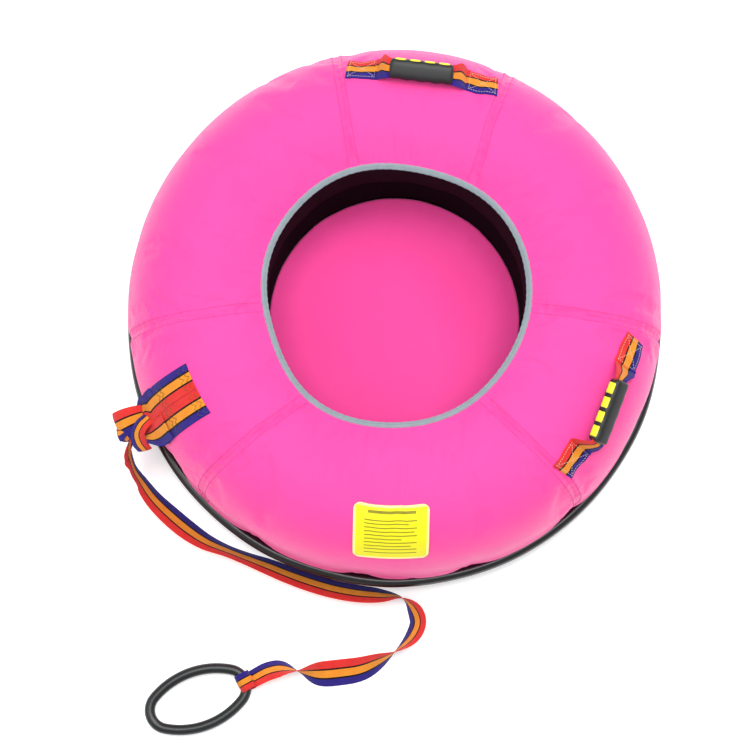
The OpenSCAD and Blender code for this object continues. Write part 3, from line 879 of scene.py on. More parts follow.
def seat_cushion():
    around = 240
    theta = np.linspace(0, 2 * math.pi, around, endpoint=False)[None, :]
    share = np.linspace(0.004, 1, 70)[:, None]
    top_x, top_y = share * SEAT_R * np.cos(theta), share * SEAT_R * np.sin(theta)
    top = np.stack([top_x, top_y, seat_height(top_x, top_y)], -1)
    rim = top[-1]
    turned = np.stack([rim * [0.995, 0.995, 1] - [0, 0, 3.0 * MM],
                       rim * [0.97, 0.97, 1] - [0, 0, 4.5 * MM]], 0)
    rows = np.concatenate([top, turned])
    uv = np.concatenate([rows[..., :2], rows[:, :1, :2]], 1)
    return cap_ends(grid_piece("seat_cushion", rows, uv, PINK, close_columns=True))


seat = seat_cushion()
hand_over(seat, "root", ["seat_panel"])

foam_outline = np.array([(0.002, 0.0035), (0.2, 0.0035), (0.222, 0.007), (0.2285, 0.016),
                         (0.2285, 0.032), (0.222, 0.041), (0.19, 0.0432), (0.002, 0.0432)])
foam = swept_ring("seat_foam_pad", foam_outline, FOAM, turns=120)
hand_over(foam, "root", ["seat_pad"])

# %% [markdown]
# ## The rim
# A length of soft plastic tube is pushed over the pan's upper edge and its two ends meet in a
# short sleeve. It is glossy, so slight waves in it are what make its highlights look real.

# %% Rim bead and its sleeve
def rim_move(theta, r, z):
    sleeve = 1 / (1 + np.exp((np.abs(apart(theta, math.radians(141), RIM_R)) - 24 * MM)
                             / (1.2 * MM)))
    wave = 0.5 * MM * np.sin(11 * theta) + 0.35 * MM * np.sin(15 * theta + 0.6)
    middle = RIM_R - BEAD_R
    return ((r - middle) * 0.05 * sleeve + wave - 0.5 * MM,
            (z - BEAD_Z) * 0.05 * sleeve + wave * 0.5)


rim = swept_ring("rim_tube", round_section(RIM_R - BEAD_R, BEAD_Z, BEAD_R - 0.7 * MM,
                                           BEAD_R - 0.7 * MM, steps=40),
                 RIM_GLOSS, rim_move, 720)
hand_over(rim, "root", ["rim_bead"])

# %% [markdown]
# ## The inner tube
# On the real thing a rubber ring, blown up hard, holds the jacket up. It could be a plain torus,
# but it fills its jacket, so it is swept from a section worked out from the jacket's own: ten
# millimetres under the cloth on top, with round corners below and a wall that clears the valve.
# The pan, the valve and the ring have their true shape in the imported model, and only take a
# finish here.

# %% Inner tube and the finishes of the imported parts
TUBE_GAP = 10 * MM                                  # between the cloth and the inner tube


def tube_outline():
    s = np.linspace(S_CROWN - 70 * MM, S_PAN - 4 * MM, 40)
    r, z, nr, nz = section(s)
    top = np.stack([r - nr * TUBE_GAP, z - nz * TUBE_GAP], 1)
    a = np.linspace(0, math.pi / 2, 9)
    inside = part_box("valve_stem")[1]
    wall = math.hypot(inside.x, inside.y)
    low, corner = 4 * MM, 58 * MM
    outer = np.stack([HEM_R - TUBE_GAP - corner * (1 - np.cos(a)),
                      low + corner * (1 - np.sin(a))], 1)
    inner = np.stack([wall + corner * (1 - np.sin(a)), low + corner * (1 - np.cos(a))], 1)
    side = np.array([(wall, 0.14), (wall + 1 * MM, 0.21), (wall + 7 * MM, 0.245)])
    return np.vstack([top, outer, inner, side])


tube = swept_ring("inner_tube_rubber", tube_outline()[::-1], BUTYL, turns=240)
hand_over(tube, "root", ["inner_tube"])

for name, finish in (("base_pan", PAN_BLACK), ("valve_stem", BRASS),
                     ("valve_core", BRASS), ("valve_pin", RIVET_STEEL),
                     ("valve_cap", PAN_BLACK), ("tow_ring", RING_RUBBER)):
    node = frame["nodes"][name]
    node.data.materials.clear()
    node.data.materials.append(finish)
    print(name, "keeps its packed shape")

# %% [markdown]
# ## Copies by Geometry Nodes
# Rivets and stitches are one small shape repeated. A node tree does that: it takes a path or a
# ring of points, puts a copy of the shape on each, makes the copies real and gives them their
# material. Its sizes are named inputs, and the result is turned into a plain mesh.

# %% Node trees for rivets and stitches
class Tree(Graph):
    """A Geometry Nodes tree with named inputs, which makes copies of a shape."""

    def __init__(self, name, inputs):
        self.tree = bpy.data.node_groups.new(name, "GeometryNodeTree")
        face = self.tree.interface
        self.ids = {}
        for label, kind in {"Geometry": "Geometry", **inputs, "Material": "Material"}.items():
            self.ids[label] = face.new_socket(name=label, in_out="INPUT",
                                              socket_type="NodeSocket" + kind).identifier
        face.new_socket(name="Geometry", in_out="OUTPUT", socket_type="NodeSocketGeometry")
        self.start = self.tree.nodes.new("NodeGroupInput")

    def value(self, label):
        return Wire(self, self.start.outputs[label])

    def close(self, **instancing):
        """Puts copies on points, makes them real, smooths them and gives them a material."""
        copies = self.node("GeometryNodeInstanceOnPoints", {}, **instancing)
        real = self.node("GeometryNodeRealizeInstances", {}, copies)
        smooth = self.node("GeometryNodeSetShadeSmooth", {}, real)
        done = self.node("GeometryNodeSetMaterial", {}, Geometry=smooth,
                         Material=self.value("Material"))
        self.feed(self.tree.nodes.new("NodeGroupOutput").inputs[0], done)

    def grow(self, name, mesh, **values):
        """Runs the tree on a mesh and returns the result as a new plain piece."""
        piece = bpy.data.objects.new(name, mesh)
        bpy.context.scene.collection.objects.link(piece)
        modifier = piece.modifiers.new("copies", "NODES")
        modifier.node_group = self.tree
        for label, value in values.items():
            modifier[self.ids[label.replace("_", " ")]] = value
        return bake(piece)


stitch_tree = Tree("stitches_on_a_path", {"Spacing": "Float", "Length": "Float",
                                         "Thickness": "Float"})
path = stitch_tree.node("GeometryNodeMeshToCurve", {}, Mesh=stitch_tree.value("Geometry"))
path = stitch_tree.node("GeometryNodeResampleCurve", {"mode": "LENGTH"}, Curve=path,
                        Length=stitch_tree.value("Spacing"))
thread = stitch_tree.node("GeometryNodeMeshUVSphere", {}, Segments=6, Rings=4, Radius=0.5)
thickness = stitch_tree.value("Thickness")
size = stitch_tree.node("ShaderNodeCombineXYZ", {}, stitch_tree.value("Length"), thickness,
                        thickness)
along = stitch_tree.node("FunctionNodeAlignRotationToVector", {"axis": "X"},
                         Vector=stitch_tree.node("GeometryNodeInputTangent", {}))
stitch_tree.close(Points=path, Instance=thread, Rotation=along, Scale=size)

ring_tree = Tree("copies_round_a_ring", {"Count": "Int", "Turn": "Float"})
count = ring_tree.value("Count")
ring_of = ring_tree.node("GeometryNodeMeshCircle", {}, Vertices=count, Radius=0.0)
share = ring_tree.node("GeometryNodeInputIndex", {}) / count
spin = ring_tree.node("ShaderNodeCombineXYZ", {},
                      Z=share * (2 * math.pi) + ring_tree.value("Turn"))
ring_tree.close(Points=ring_of, Instance=ring_tree.value("Geometry"), Rotation=spin)


def path_mesh(name, paths):
    """One mesh of loose edges along several paths."""
    points, edges = [], []
    for line in paths:
        line = np.asarray(line)
        start = len(points)
        points += line.tolist()
        edges += [(start + i, start + i + 1) for i in range(len(line) - 1)]
    mesh = bpy.data.meshes.new(name)
    mesh.from_pydata(points, edges, [])
    return mesh


STITCHES = {}


def sew(place, paths, material, spacing=4.6 * MM, length=3.6 * MM, thickness=1.1 * MM):
    """Sews rows of stitches along paths."""
    piece = stitch_tree.grow(place, path_mesh(place, paths), Spacing=spacing, Length=length,
                             Thickness=thickness, Material=material)
    STITCHES[place] = piece
    print(f"{place}: {len(piece.data.vertices)} points")

# %% [markdown]
# ## Rivets
# Fifteen rivets hold the pan's wall, the jacket's hem and the band inside it together. A rivet
# has a domed head outside and a washer under its tail inside.

# %% Rivets and washers
RIVET_Z = sum(corner.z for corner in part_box("hem_rivets")) / 2
LATHE_STEPS = 20


def lathe(outline):
    """A closed outline of (distance from axis, distance along axis), turned about +X."""
    a = np.linspace(0, 2 * math.pi, LATHE_STEPS, endpoint=False)[:, None]
    rho, x = np.asarray(outline, float).T
    rows = np.stack([x + 0 * a, rho * np.cos(a), rho * np.sin(a)], -1)
    rows[..., 2] += RIVET_Z
    uv = np.zeros((LATHE_STEPS + 1, len(outline) + 1, 2))
    return grid_mesh("turned", rows, uv, True, True)


inside_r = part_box("hem_washers")[1].x - 1.5 * MM
rivet_outline = [(0.01 * MM, WALL_R + 2.0 * MM), (3.2 * MM, WALL_R + 1.7 * MM),
                 (5.2 * MM, WALL_R + 0.9 * MM), (6.0 * MM, WALL_R + 0.1 * MM),
                 (2.5 * MM, WALL_R), (2.5 * MM, inside_r), (4.0 * MM, inside_r),
                 (3.4 * MM, inside_r - 1.2 * MM), (0.01 * MM, inside_r - 1.5 * MM)]
rivets = ring_tree.grow("hem_rivet_set", lathe(rivet_outline), Count=RIVETS, Turn=FIRST_RIVET,
                        Material=RIVET_STEEL)
hand_over(rivets, "root", ["hem_rivets"])
washer_outline = [(2.7 * MM, inside_r + 0.1 * MM), (6.8 * MM, inside_r + 0.1 * MM),
                  (7.0 * MM, inside_r + 0.8 * MM), (6.6 * MM, inside_r + 1.4 * MM),
                  (2.7 * MM, inside_r + 1.4 * MM)]
washers = ring_tree.grow("hem_washer_set", lathe(washer_outline), Count=RIVETS,
                         Turn=FIRST_RIVET, Material=RIVET_STEEL)
hand_over(washers, "root", ["hem_washers"])

# %% [markdown]
# ## Stitching of the jacket
# Every panel seam is topstitched twice, one row on each side. The binding has one row along its
# middle.

# %% Seam and binding stitches
def seam_rows():
    rows = []
    s = np.linspace(9 * MM, S_PAN - 8 * MM, 150)
    r = section(s)[0]
    for k in range(len(SEAMS)):
        for side in (-1, 1):
            theta = seam_direction(k, r) + side * 8.5 * MM / r
            rows.append(jacket_point(theta, s, 0.25 * MM))
    return rows


sew("seam_stitches", seam_rows(), DARK_THREAD, 5.2 * MM, 3.6 * MM, 0.9 * MM)
theta = np.linspace(0, 2 * math.pi, 720)
middle_r = binding_outline[crest, 0] + edge_wander(theta)
middle_z = binding_outline[crest, 1] - 0.6 * MM + 0.4 * MM * np.sin(theta * 59 + 1)
sew("binding_stitches", [ring_points(middle_r, theta, middle_z)], GREY_THREAD, 4.2 * MM,
    3.2 * MM, 0.9 * MM)

# %% [markdown]
# ## Webbing on the jacket
# Handle ends and tow tab lie flat on the jacket and are sewn down, the handle ends with a box
# and a cross and the tab with zigzag rows. A patch of webbing is a flat shape laid on the curved
# surface: each of its points is projected on the section and lifted by the webbing's thickness.

# %% Patches that lie on the jacket
PATCH_STEPS = 26
STITCH_INSET = 5 * MM


def frame_on_jacket(direction, radius):
    """A frame on the shoulder: X down the slope, Y round the ring, Z outwards."""
    down = math.asin((radius - CROWN_R) / SHOULDER_R)
    height = BELLY_Z + SHOULDER_R * math.cos(down)
    return (Matrix.Rotation(direction, 4, "Z") @ Matrix.Translation((radius, 0, height))
            @ Matrix.Rotation(down, 4, "Y"))


def through(matrix, points):
    points = np.asarray(points, float)
    m = np.array(matrix)
    return points @ m[:3, :3].T + m[:3, 3]


def patch(name, matrix, x0, x1, y0, y1, thickness):
    """Striped webbing from x0 to x1 and y0 to y1 of a frame, its stripes running along Y."""
    x, y = np.meshgrid(np.linspace(x0, x1, PATCH_STEPS), np.linspace(y0, y1, PATCH_STEPS),
                       indexing="ij")
    theta, s = place_on_section(through(matrix, np.stack([x, y, 0 * x], -1)))
    rows = jacket_point(theta, s, thickness)
    uv = np.stack([(x1 - x) * (WEB_W / (x1 - x0)), y], -1)
    return thicken(grid_piece(name, rows, uv, WEBBING), thickness)


def on_patch(matrix, points, lift):
    """Flat (x, y) points of a frame, laid on the jacket."""
    points = np.asarray(points, float)
    flat = np.concatenate([points, np.zeros((len(points), 1))], 1)
    theta, s = place_on_section(through(matrix, flat))
    return jacket_point(theta, s, lift)


def box_and_cross(x0, x1, y0, y1):
    """Six straight rows: round the four corners of a patch, then across both ways."""
    x0, x1, y0, y1 = x0 + STITCH_INSET, x1 - STITCH_INSET, y0 + STITCH_INSET, y1 - STITCH_INSET
    a, b, c, d = (x0, y0), (x1, y0), (x1, y1), (x0, y1)
    return [np.linspace(start, end, 24)
            for start, end in ((a, b), (b, c), (c, d), (d, a), (a, c), (d, b))]

# %% [markdown]
# ## Handles
# A handle is one length of webbing, sewn down at both ends, whose free middle passes through a
# moulded grip. It swings about the line where it leaves the jacket, so its free part is drawn
# upright about that line and then leant. The grip rides on the handle's body. Each leg is a
# ribbon curved from the jacket up to the grip.

# %% Handle frames and sizes
# direction round the ring, radius of the hinge line, half turn, lean at rest
HANDLES = {"handle_1": (math.radians(83), CROWN_R + 52 * MM, 0, math.radians(-49)),
           "handle_2": (math.radians(-29.5), CROWN_R + 64 * MM, math.pi, math.radians(-20))}
# middle of each grip across and along its hinge line, and its turn about the handle's own Z
GRIP_SPOTS = {"handle_1": (9 * MM, 2 * MM), "handle_2": (18 * MM, 11 * MM)}
GRIP_TWISTS = {"handle_1": 0.0, "handle_2": math.radians(13)}
SEWN_OUT, SEWN_IN = 138 * MM, 80 * MM
GRIP_L, GRIP_W, GRIP_T = 114 * MM, 36 * MM, 25 * MM
GRIP_RISE, HINGE_Z = 31 * MM, -2 * MM
PAD_PITCH, PAD_SIDE, PAD_DEEP, PAD_OUT = 26 * MM, 21 * MM, 15 * MM, 1.5 * MM
WEB_T = 2.2 * MM


def handle_frames(name):
    direction, radius, turn, lean = HANDLES[name]
    flat = frame_on_jacket(direction, radius) @ Matrix.Rotation(turn, 4, "Z")
    swung = flat @ Matrix.Translation((0, 0, HINGE_Z)) @ Matrix.Rotation(lean, 4, "Y")
    grip = (swung @ Matrix.Translation((*GRIP_SPOTS[name], GRIP_RISE))
            @ Matrix.Rotation(GRIP_TWISTS[name], 4, "Z"))
    return flat, grip


def grip_mesh(name, grip):
    """A rounded bar with softened ends, a little fuller in the middle and flat where it's held."""
    y = np.linspace(-1, 1, 41)
    shrink = 0.82 + 0.18 * np.sqrt(np.clip(1 - np.abs(y) ** 14, 0, 1))
    shrink[0] = shrink[-1] = 0.62
    a = np.linspace(0, 2 * math.pi, 44, endpoint=False)
    x = np.sign(np.cos(a)) * np.abs(np.cos(a)) ** 0.62 * GRIP_W / 2
    z = np.sign(np.sin(a)) * np.abs(np.sin(a)) ** 0.62 * GRIP_T / 2
    waves = 1 - 0.035 * np.cos(y * GRIP_L / 2 / PAD_PITCH * 2 * math.pi + math.pi)
    full = 1 - 0.03 * y ** 2
    rows = np.stack([x[None, :] * (shrink * full * waves)[:, None],
                     np.broadcast_to(y[:, None] * GRIP_L / 2, (41, 44)),
                     z[None, :] * (shrink * full)[:, None]], -1)
    return cap_ends(grid_piece(name, through(grip, rows), np.zeros((41, 45, 2)), GRIP_RUBBER,
                               close_columns=True, flip=True))


def pad_mesh(name, grip):
    """Four rounded squares let into the grip's own +X side."""
    n = 13
    u, v = np.meshgrid(np.linspace(-1, 1, n), np.linspace(-1, 1, n), indexing="ij")
    squash = 1 / np.maximum(1, (np.abs(u) ** 6 + np.abs(v) ** 6) ** (1 / 6))
    y, z = u * squash * PAD_SIDE / 2, v * squash * PAD_DEEP / 2
    edge = np.maximum(np.abs(u), np.abs(v))
    x = GRIP_W / 2 + PAD_OUT - 1.6 * MM * edge ** 6 - 0.4 * MM * edge ** 2
    parts = []
    for k in range(4):
        rows = np.stack([x, y + (k - 1.5) * PAD_PITCH, z], -1)
        piece = grid_piece(f"{name}_{k}", through(grip, rows), np.zeros((n, n, 2)), PAD_YELLOW)
        parts.append(thicken(piece, 2.6 * MM))
    return join(name, parts)


def join(name, parts):
    """Makes one piece of several."""
    work = bmesh.new()
    for part in parts:
        work.from_mesh(part.data)
    mesh = bpy.data.meshes.new(name)
    work.to_mesh(mesh)
    work.free()
    made = new_piece(name, mesh, parts[0].data.materials[0])
    for part in parts:
        bpy.data.objects.remove(part)
    return made


def handle_leg(name, flat, grip, grip_y, side):
    """Free webbing from the edge of a sewn end up to the grip, `side` -1 or 1 along Y."""
    low = through(flat, [[0, side * (SEWN_IN + 5 * MM), 0], [0, side * (SEWN_IN - 1 * MM), 0]])
    theta, s = place_on_section(low)
    low = jacket_point(theta, s, 1.4 * MM)
    reach = abs(side * SEWN_IN - (grip_y + side * GRIP_L / 2))
    high = through(grip, [[0, side * (GRIP_L / 2 + 0.12 * reach), 0.5 * MM],
                          [0, side * (GRIP_L / 2 - 6 * MM), 0]])
    mid = low[1] * 0.55 + high[0] * 0.45 + np.array(flat)[:3, 2] * 5 * MM
    line = curve_through([low[0], low[1], mid, high[0], high[1]], 14)
    share = smooth_between(0.18, 0.86, np.linspace(0, 1, len(line)))[:, None]
    across = np.array(flat)[:3, 0] * (1 - share) + np.array(grip)[:3, 0] * share
    width = WEB_W - (WEB_W - 35 * MM) * smooth_between(0.3, 0.9, np.linspace(0, 1, len(line)))
    return ribbon_piece(name, line, across, width, WEB_T, True, crown=2.0 * MM), line


def make_handle(name):
    flat, grip = handle_frames(name)
    half = WEB_W / 2
    ends, threads = [], []
    for side in (-1, 1):
        y0, y1 = sorted((side * SEWN_IN, side * SEWN_OUT))
        ends.append(patch(f"{name}_end_{side + 1}", flat, -half, half, y0, y1, 2 * MM))
        for row in box_and_cross(-half, half, y0, y1):
            threads.append(on_patch(flat, row, 2.3 * MM))
    hand_over(join(f"{name}_sewn_ends", ends), "root", [f"{name}_ends"])
    sew(f"{name}_end_stitches", threads, PALE_THREAD)
    for side, word in ((-1, "a"), (1, "b")):
        leg, line = handle_leg(f"{name}_leg_{word}", flat, grip, GRIP_SPOTS[name][1], side)
        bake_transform(leg)
        if side > 0:
            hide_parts(f"{name}_strap")
        print(leg.name, "bends between jacket and grip")
    hand_over(grip_mesh(f"{name}_grip_bar", grip), name, [f"{name}_grip"])
    hand_over(pad_mesh(f"{name}_finger_pads", grip), name, [f"{name}_pads"])


for handle_name in HANDLES:
    make_handle(handle_name)

# %% [markdown]
# ## Tow tab, loop and knot
# The tow tab is one length of webbing folded in half, sewn down as two legs side by side with
# their red edges together. The free part narrows into a loop, and the tow strap is knotted round
# it. The knot is drawn as three bands that cross each other and two whole turns inside them.

# %% Tow tab
TAB_AZ = math.radians(207)
TAB_R = CROWN_R + 36 * MM
TAB_L = 124 * MM


def tab_spot(down, across, lift):
    """A point of the tab: distance down the slope from its inner end, and across."""
    start = S_CROWN + SHOULDER_R * math.asin((TAB_R - CROWN_R) / SHOULDER_R)
    s = start + np.asarray(down, float)
    theta = TAB_AZ + np.asarray(across, float) / section(s)[0]
    return jacket_point(theta, s, lift)


def tab_leg(name, side):
    down = np.linspace(0, TAB_L, 40)[:, None]
    across = side * np.linspace(0.4 * MM, WEB_W - 1 * MM, 24)[None, :]
    down, across = np.broadcast_arrays(down, across)
    rows = tab_spot(down, across, 2 * MM)
    uv = np.stack([np.abs(across), down], -1)
    return thicken(grid_piece(name, rows, uv, WEBBING, flip=side < 0), 2 * MM)


tab = join("tow_tab_legs", [tab_leg("left_leg", -1), tab_leg("right_leg", 1)])
hand_over(tab, "root", ["tow_tab"])


def zigzag(down, start, end):
    """A row of stitches across the tab that runs 7 mm up and down at every 5 mm."""
    count = int(abs(end - start) / (5 * MM))
    corner = np.arange(count + 1)
    dense = np.arange(0, count, 0.2)
    across = np.interp(dense, corner, np.linspace(start, end, count + 1))
    return tab_spot(np.interp(dense, corner, down + 7 * MM * (corner % 2)), across, 2.3 * MM)


tab_rows = [zigzag(d, side * 4 * MM, side * 46 * MM) for side in (-1, 1)
            for d in (3 * MM, 14 * MM, 62 * MM, 73 * MM)]
sew("tow_tab_stitches", tab_rows, GREEN_THREAD, 3.4 * MM, 3.0 * MM, 1.1 * MM)

# %% Free loop of the tab, from the jacket to the knot
knot_low, knot_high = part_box("tow_knot")
KNOT = np.array((knot_low + knot_high) / 2)
TAB_OUT = np.array([math.cos(TAB_AZ), math.sin(TAB_AZ), 0.0])
TAB_SIDE = np.array([-math.sin(TAB_AZ), math.cos(TAB_AZ), 0.0])
UP = np.array([0, 0, 1.0])


def loop_leg(name, side, middle, end, tip):
    """Free part of one leg: it leaves the jacket flat and is gathered into the knot."""
    down = np.array([TAB_L - 34 * MM, TAB_L - 16 * MM, TAB_L - 2 * MM])
    start = tab_spot(down, side * np.array([25.2, 25.0, 24.0]) * MM, np.array([3, 4, 6]) * MM)
    line = curve_through([*start, middle, end], 14)
    share = smooth_between(0.5, 1.0, np.linspace(0, 1, len(line)))[:, None]
    across = TAB_SIDE * side * (1 - 0.15 * share) + UP * tip * share
    width = WEB_W - 19 * MM * share[:, 0]
    return ribbon_piece(name, line, across, width, 2 * MM, crown=3 * MM)


tab_loop = join("tow_tab_loop_webbing", [
    loop_leg("loop_upper", -1, (-0.450, -0.194, 0.179), (-0.460, -0.206, 0.160), -0.45),
    loop_leg("loop_lower", 1, (-0.430, -0.243, 0.178), (-0.449, -0.240, 0.156), 0.2)])
hand_over(tab_loop, "root", ["tow_tab_loop"])

# %% Knot
KNOT_T = 2.2 * MM


def band_turn(name, centre, axis, start, width, radius, squash=1.0):
    """One turn of webbing round an axis through the knot."""
    axis = unit(axis)
    side = unit(np.cross(axis, start))
    up = np.cross(side, axis)
    a = np.linspace(0, 2 * math.pi, 40)[:, None]
    line = np.asarray(centre) + radius * (up * np.cos(a) * squash + side * np.sin(a))
    line = line + axis * 5 * MM * np.sin(a * 1.5 + 0.5)
    across = axis + 0.25 * np.cos(a * 1.3) * side
    return ribbon_piece(name, line, across, width, KNOT_T, crown=4 * MM)


def knot_ribbon(name, points, across, widths, flip=False):
    """A piece of the knot: a line, with the crosswise direction and width at each point."""
    line = curve_through(points, 10)
    turned = curve_through(across, 10)
    wide = curve_through([(w, 0, 0) for w in widths], 10)[:, 0]
    return ribbon_piece(name, line, turned, wide, KNOT_T, flip, crown=2 * MM)


front_band = knot_ribbon(
    "front_band",
    [(-0.437, -0.199, 0.158), (-0.451, -0.204, 0.170), (-0.469, -0.212, 0.173),
     (-0.487, -0.219, 0.165), (-0.496, -0.222, 0.149), (-0.483, -0.224, 0.131)],
    [(0.10, -0.80, -0.55), (0.24, -0.88, -0.40), (0.36, -0.90, -0.32), (0.40, -0.88, -0.30),
     (0.42, -0.88, -0.25), (0.4, -0.9, -0.2)],
    [0.030, 0.038, 0.046, 0.050, 0.048, 0.032])
tail = knot_ribbon(
    "tail",
    [(-0.428, -0.200, 0.176), (-0.438, -0.212, 0.184), (-0.450, -0.224, 0.184),
     (-0.458, -0.238, 0.174), (-0.456, -0.252, 0.158), (-0.448, -0.262, 0.142)],
    [(0.62, -0.60, 0.50), (0.62, -0.62, 0.48), (0.70, -0.50, 0.50), (0.86, -0.20, 0.46),
     (0.95, 0.10, 0.30), (0.97, 0.20, 0.12)],
    [0.020, 0.028, 0.032, 0.031, 0.030, 0.027], flip=True)
under_band = knot_ribbon(
    "under_band",
    [(-0.458, -0.214, 0.150), (-0.470, -0.232, 0.158), (-0.482, -0.243, 0.146),
     (-0.480, -0.240, 0.126), (-0.470, -0.226, 0.118)],
    [(0.7, 0.3, -0.5), (0.8, 0.1, -0.5), (0.9, -0.2, -0.3), (0.95, -0.2, 0), (0.9, 0, 0.3)],
    [0.026, 0.030, 0.030, 0.028, 0.024], flip=True)
knot_parts = [
    front_band, tail, under_band,
    band_turn("turn_1", KNOT, TAB_OUT * 0.35 + TAB_SIDE * 0.9, UP, 30 * MM, 14 * MM, 0.9),
    band_turn("turn_2", KNOT - UP * 6 * MM, TAB_OUT * 0.5 + TAB_SIDE * 0.2 + UP * 0.9, TAB_OUT,
              24 * MM, 13 * MM)]
knot = join("tow_knot_turns", knot_parts)
hand_over(knot, "root", ["tow_knot"])

# %% [markdown]
# ## The strap's end on the ring
# The strap's far end is turned round one side of the tow ring and sewn back on itself. It could
# be bent out of the strap's own ribbon, but webbing that meets itself is simpler as a short
# band with a closed oval section.

# %% Loop round the ring
RING_AZ = math.radians(20)
loop_box_low, loop_box_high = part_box("tow_strap_end")
loop_middle = (loop_box_low + loop_box_high) / 2
end_frame = (Matrix.Translation((loop_middle.x, loop_middle.y, 0))
             @ Matrix.Rotation(RING_AZ + math.radians(9), 4, "Z"))
LOOP_W = 33 * MM


def ring_wrap():
    a = np.linspace(0, 2 * math.pi, 56, endpoint=False)
    width = (loop_box_high.z - 0.4 * MM) / 2
    x = 1.04 * width * np.sign(np.cos(a)) * np.abs(np.cos(a)) ** 0.9
    z = width + 0.4 * MM + (width - 0.2 * MM) * np.sin(a)
    steps = np.linspace(-0.5, 0.5, 14)
    bulge = 1 + 0.03 * np.cos(steps * math.pi * 2)[:, None]
    rows = np.stack([x[None, :] * bulge, np.broadcast_to(steps[:, None] * LOOP_W, (14, 56)),
                     np.broadcast_to(z[None, :], (14, 56))], -1)
    around = np.append(lengths(np.stack([x, 0 * x, z], 1)), 0)
    around[-1] = around[-2] + 1 * MM
    uv = np.stack(np.broadcast_arrays((steps[:, None] + 0.5) * WEB_W, around[None, :]), -1)
    piece = grid_piece("ring_wrap", through(end_frame, rows), uv, WEBBING, close_columns=True,
                       flip=True)
    return thicken(cap_ends(piece, close=False), 1.9 * MM)


wrap = ring_wrap()
hand_over(wrap, "root", ["tow_strap_end"])

# %% [markdown]
# ## The label
# A printed label of soft yellow plastic is sewn on the shoulder. Its print is only plain bars,
# drawn in its material from its own UV map: a bar is where both coordinates lie between limits.

# %% Label
LABEL_AZ = math.radians(268.8)
LABEL_S = S_CROWN + SHOULDER_R * math.radians(35.5)
LABEL_W, LABEL_H, LABEL_R = 130 * MM, 105 * MM, 12 * MM
BARS = [(-40, 42, 38, 43), (-46, 44, 25, 27), (-46, 30, 19, 21), (-46, 44, 12, 14),
        (-46, 40, 5, 7), (-46, 44, -2, 0), (-46, 18, -9, -7), (-46, 44, -16, -14),
        (-46, 34, -23, -21), (-46, 44, -30, -28), (-46, 44, -38, -36)]


def label_paint():
    paint = Paint("printed_yellow_label", Specular_IOR_Level=0.4)
    uv, u, v = paint.across()
    print_wear = paint.noise(uv, 60.0, 4.0)
    ground = paint.mix(print_wear, tint(226, 216, 14), tint(236, 228, 30))
    ink = None
    for left, right, low, high in BARS:
        bar = (u > left * MM) * (u < right * MM) * (v > low * MM) * (v < high * MM)
        ink = bar if ink is None else ink + bar
    edge_u, edge_v = abs(u), abs(v)
    border = (edge_u > LABEL_W / 2 - 4 * MM) + (edge_v > LABEL_H / 2 - 4 * MM)
    colour = paint.mix(ink * (print_wear * 0.3 + 0.6), ground, tint(70, 64, 20))
    colour = paint.mix((border > 0.5) * 0.6, colour, tint(250, 250, 190))
    grain = paint.noise(uv, 700.0, 2.0)
    return paint.finish(Base_Color=colour, Roughness=0.38 + print_wear * 0.15,
                        Normal=paint.bump(grain, 0.0002, 0.5))


YELLOW_LABEL = label_paint()


def label_spot(b, a, lift):
    s = LABEL_S + np.asarray(b, float)
    return jacket_point(LABEL_AZ + np.asarray(a, float) / section(s)[0], s, lift)


def label_half_width(b):
    corner = np.clip(np.abs(b) - (LABEL_H / 2 - LABEL_R), 0, LABEL_R)
    return LABEL_W / 2 - LABEL_R + np.sqrt(LABEL_R ** 2 - corner ** 2)


def label_piece():
    b = np.sin(np.linspace(-math.pi / 2, math.pi / 2, 70)) * LABEL_H / 2
    share = np.linspace(-1, 1, 60)
    a = label_half_width(b)[:, None] * share[None, :]
    wide = np.broadcast_to(b[:, None], a.shape)
    curl = 1.2 * MM * np.abs(share[None, :]) ** 6 * (1 + np.sin(b * 70))[:, None]
    rows = label_spot(wide, a, 1.6 * MM + curl)
    uv = np.stack([a, -wide], -1)
    return thicken(grid_piece("printed_label", rows, uv, YELLOW_LABEL), 0.8 * MM)


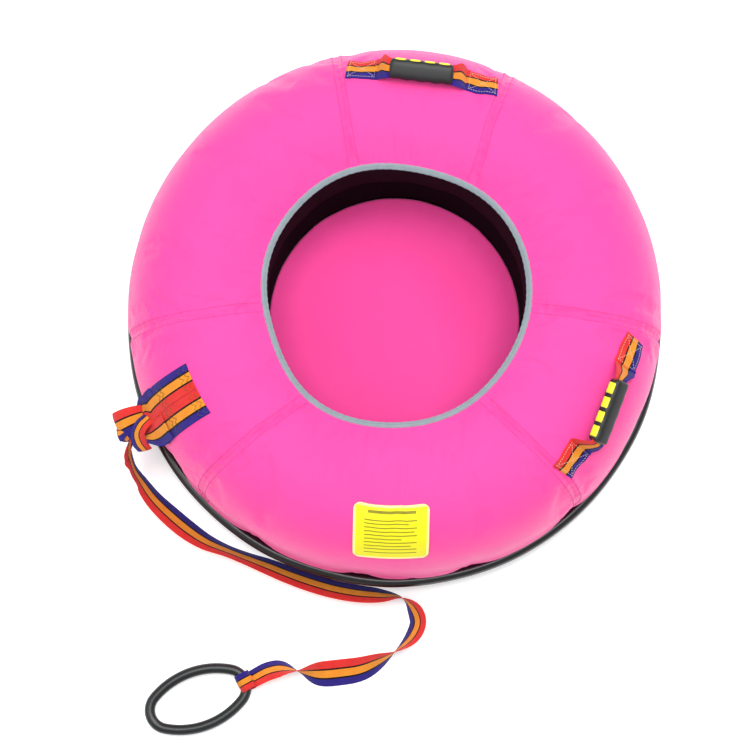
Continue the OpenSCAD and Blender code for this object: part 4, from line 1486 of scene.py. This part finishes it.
hand_over(label_piece(), "root", ["care_label"])
edge_b = np.concatenate([np.linspace(-1, 1, 90), np.linspace(1, -1, 90)]) * (LABEL_H / 2 - 3 * MM)
edge_side = np.repeat([1, -1], 90)
edge_a = edge_side * (label_half_width(edge_b * LABEL_H / (LABEL_H - 6 * MM)) - 3 * MM)
loop_b, loop_a = np.append(edge_b, edge_b[0]), np.append(edge_a, edge_a[0])
sew("label_stitches", [label_spot(loop_b, loop_a, 2.0 * MM)], PALE_THREAD, 4 * MM, 3 * MM,
    0.7 * MM)

for place, piece in STITCHES.items():
    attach(piece, "root")
    "striped_webbing" if "handle" in place or "tab" in place else "pink_fabric"

# %% [markdown]
# ## Floor and light
# The object is shown alone: a plain pale floor, a large soft light overhead, a weaker one from
# each side and a pale sky that fills the shadows.

# %% Stage
def stage_floor():
    mesh = bpy.data.meshes.new("floor")
    half = 6.0
    mesh.from_pydata([(-half, -half, -0.0005), (half, -half, -0.0005), (half, half, -0.0005),
                      (-half, half, -0.0005)], [], [(0, 1, 2, 3)])
    paint = Paint("pale_floor", Specular_IOR_Level=0.1)
    mottle = paint.noise(paint.place(), 2.0, 2.0)
    floor = new_piece("floor", mesh, paint.finish(
        Base_Color=paint.mix(mottle, tint(250, 250, 250), tint(254, 254, 254)), Roughness=0.9))
    paint.skin.inputs["Emission Color"].default_value = (1, 1, 1, 1)
    paint.skin.inputs["Emission Strength"].default_value = 0.32


def soft_light(name, place, aim, size, power):
    data = bpy.data.lights.new(name, "AREA")
    data.shape, data.size, data.energy = "DISK", size, power
    light = bpy.data.objects.new(name, data)
    light.location = place
    light.rotation_mode = "QUATERNION"
    light.rotation_quaternion = (Vector(aim) - Vector(place)).to_track_quat("-Z", "Y")
    bpy.context.scene.collection.objects.link(light)


stage_floor()
soft_light("key", (1.6, 1.3, 3.3), (0, 0, 0.1), 1.8, 50)
soft_light("fill", (-2.4, -0.6, 2.6), (0, 0, 0.1), 2.4, 22)
soft_light("top", (0.0, 0.1, 3.6), (0, 0, 0), 2.4, 96)
world = bpy.data.worlds.new("pale_sky")
world.use_nodes = True
world.node_tree.nodes["Background"].inputs["Color"].default_value = (0.93, 0.94, 0.97, 1)
world.node_tree.nodes["Background"].inputs["Strength"].default_value = 0.56
bpy.context.scene.world = world
bpy.context.scene.view_settings.view_transform = "Standard"
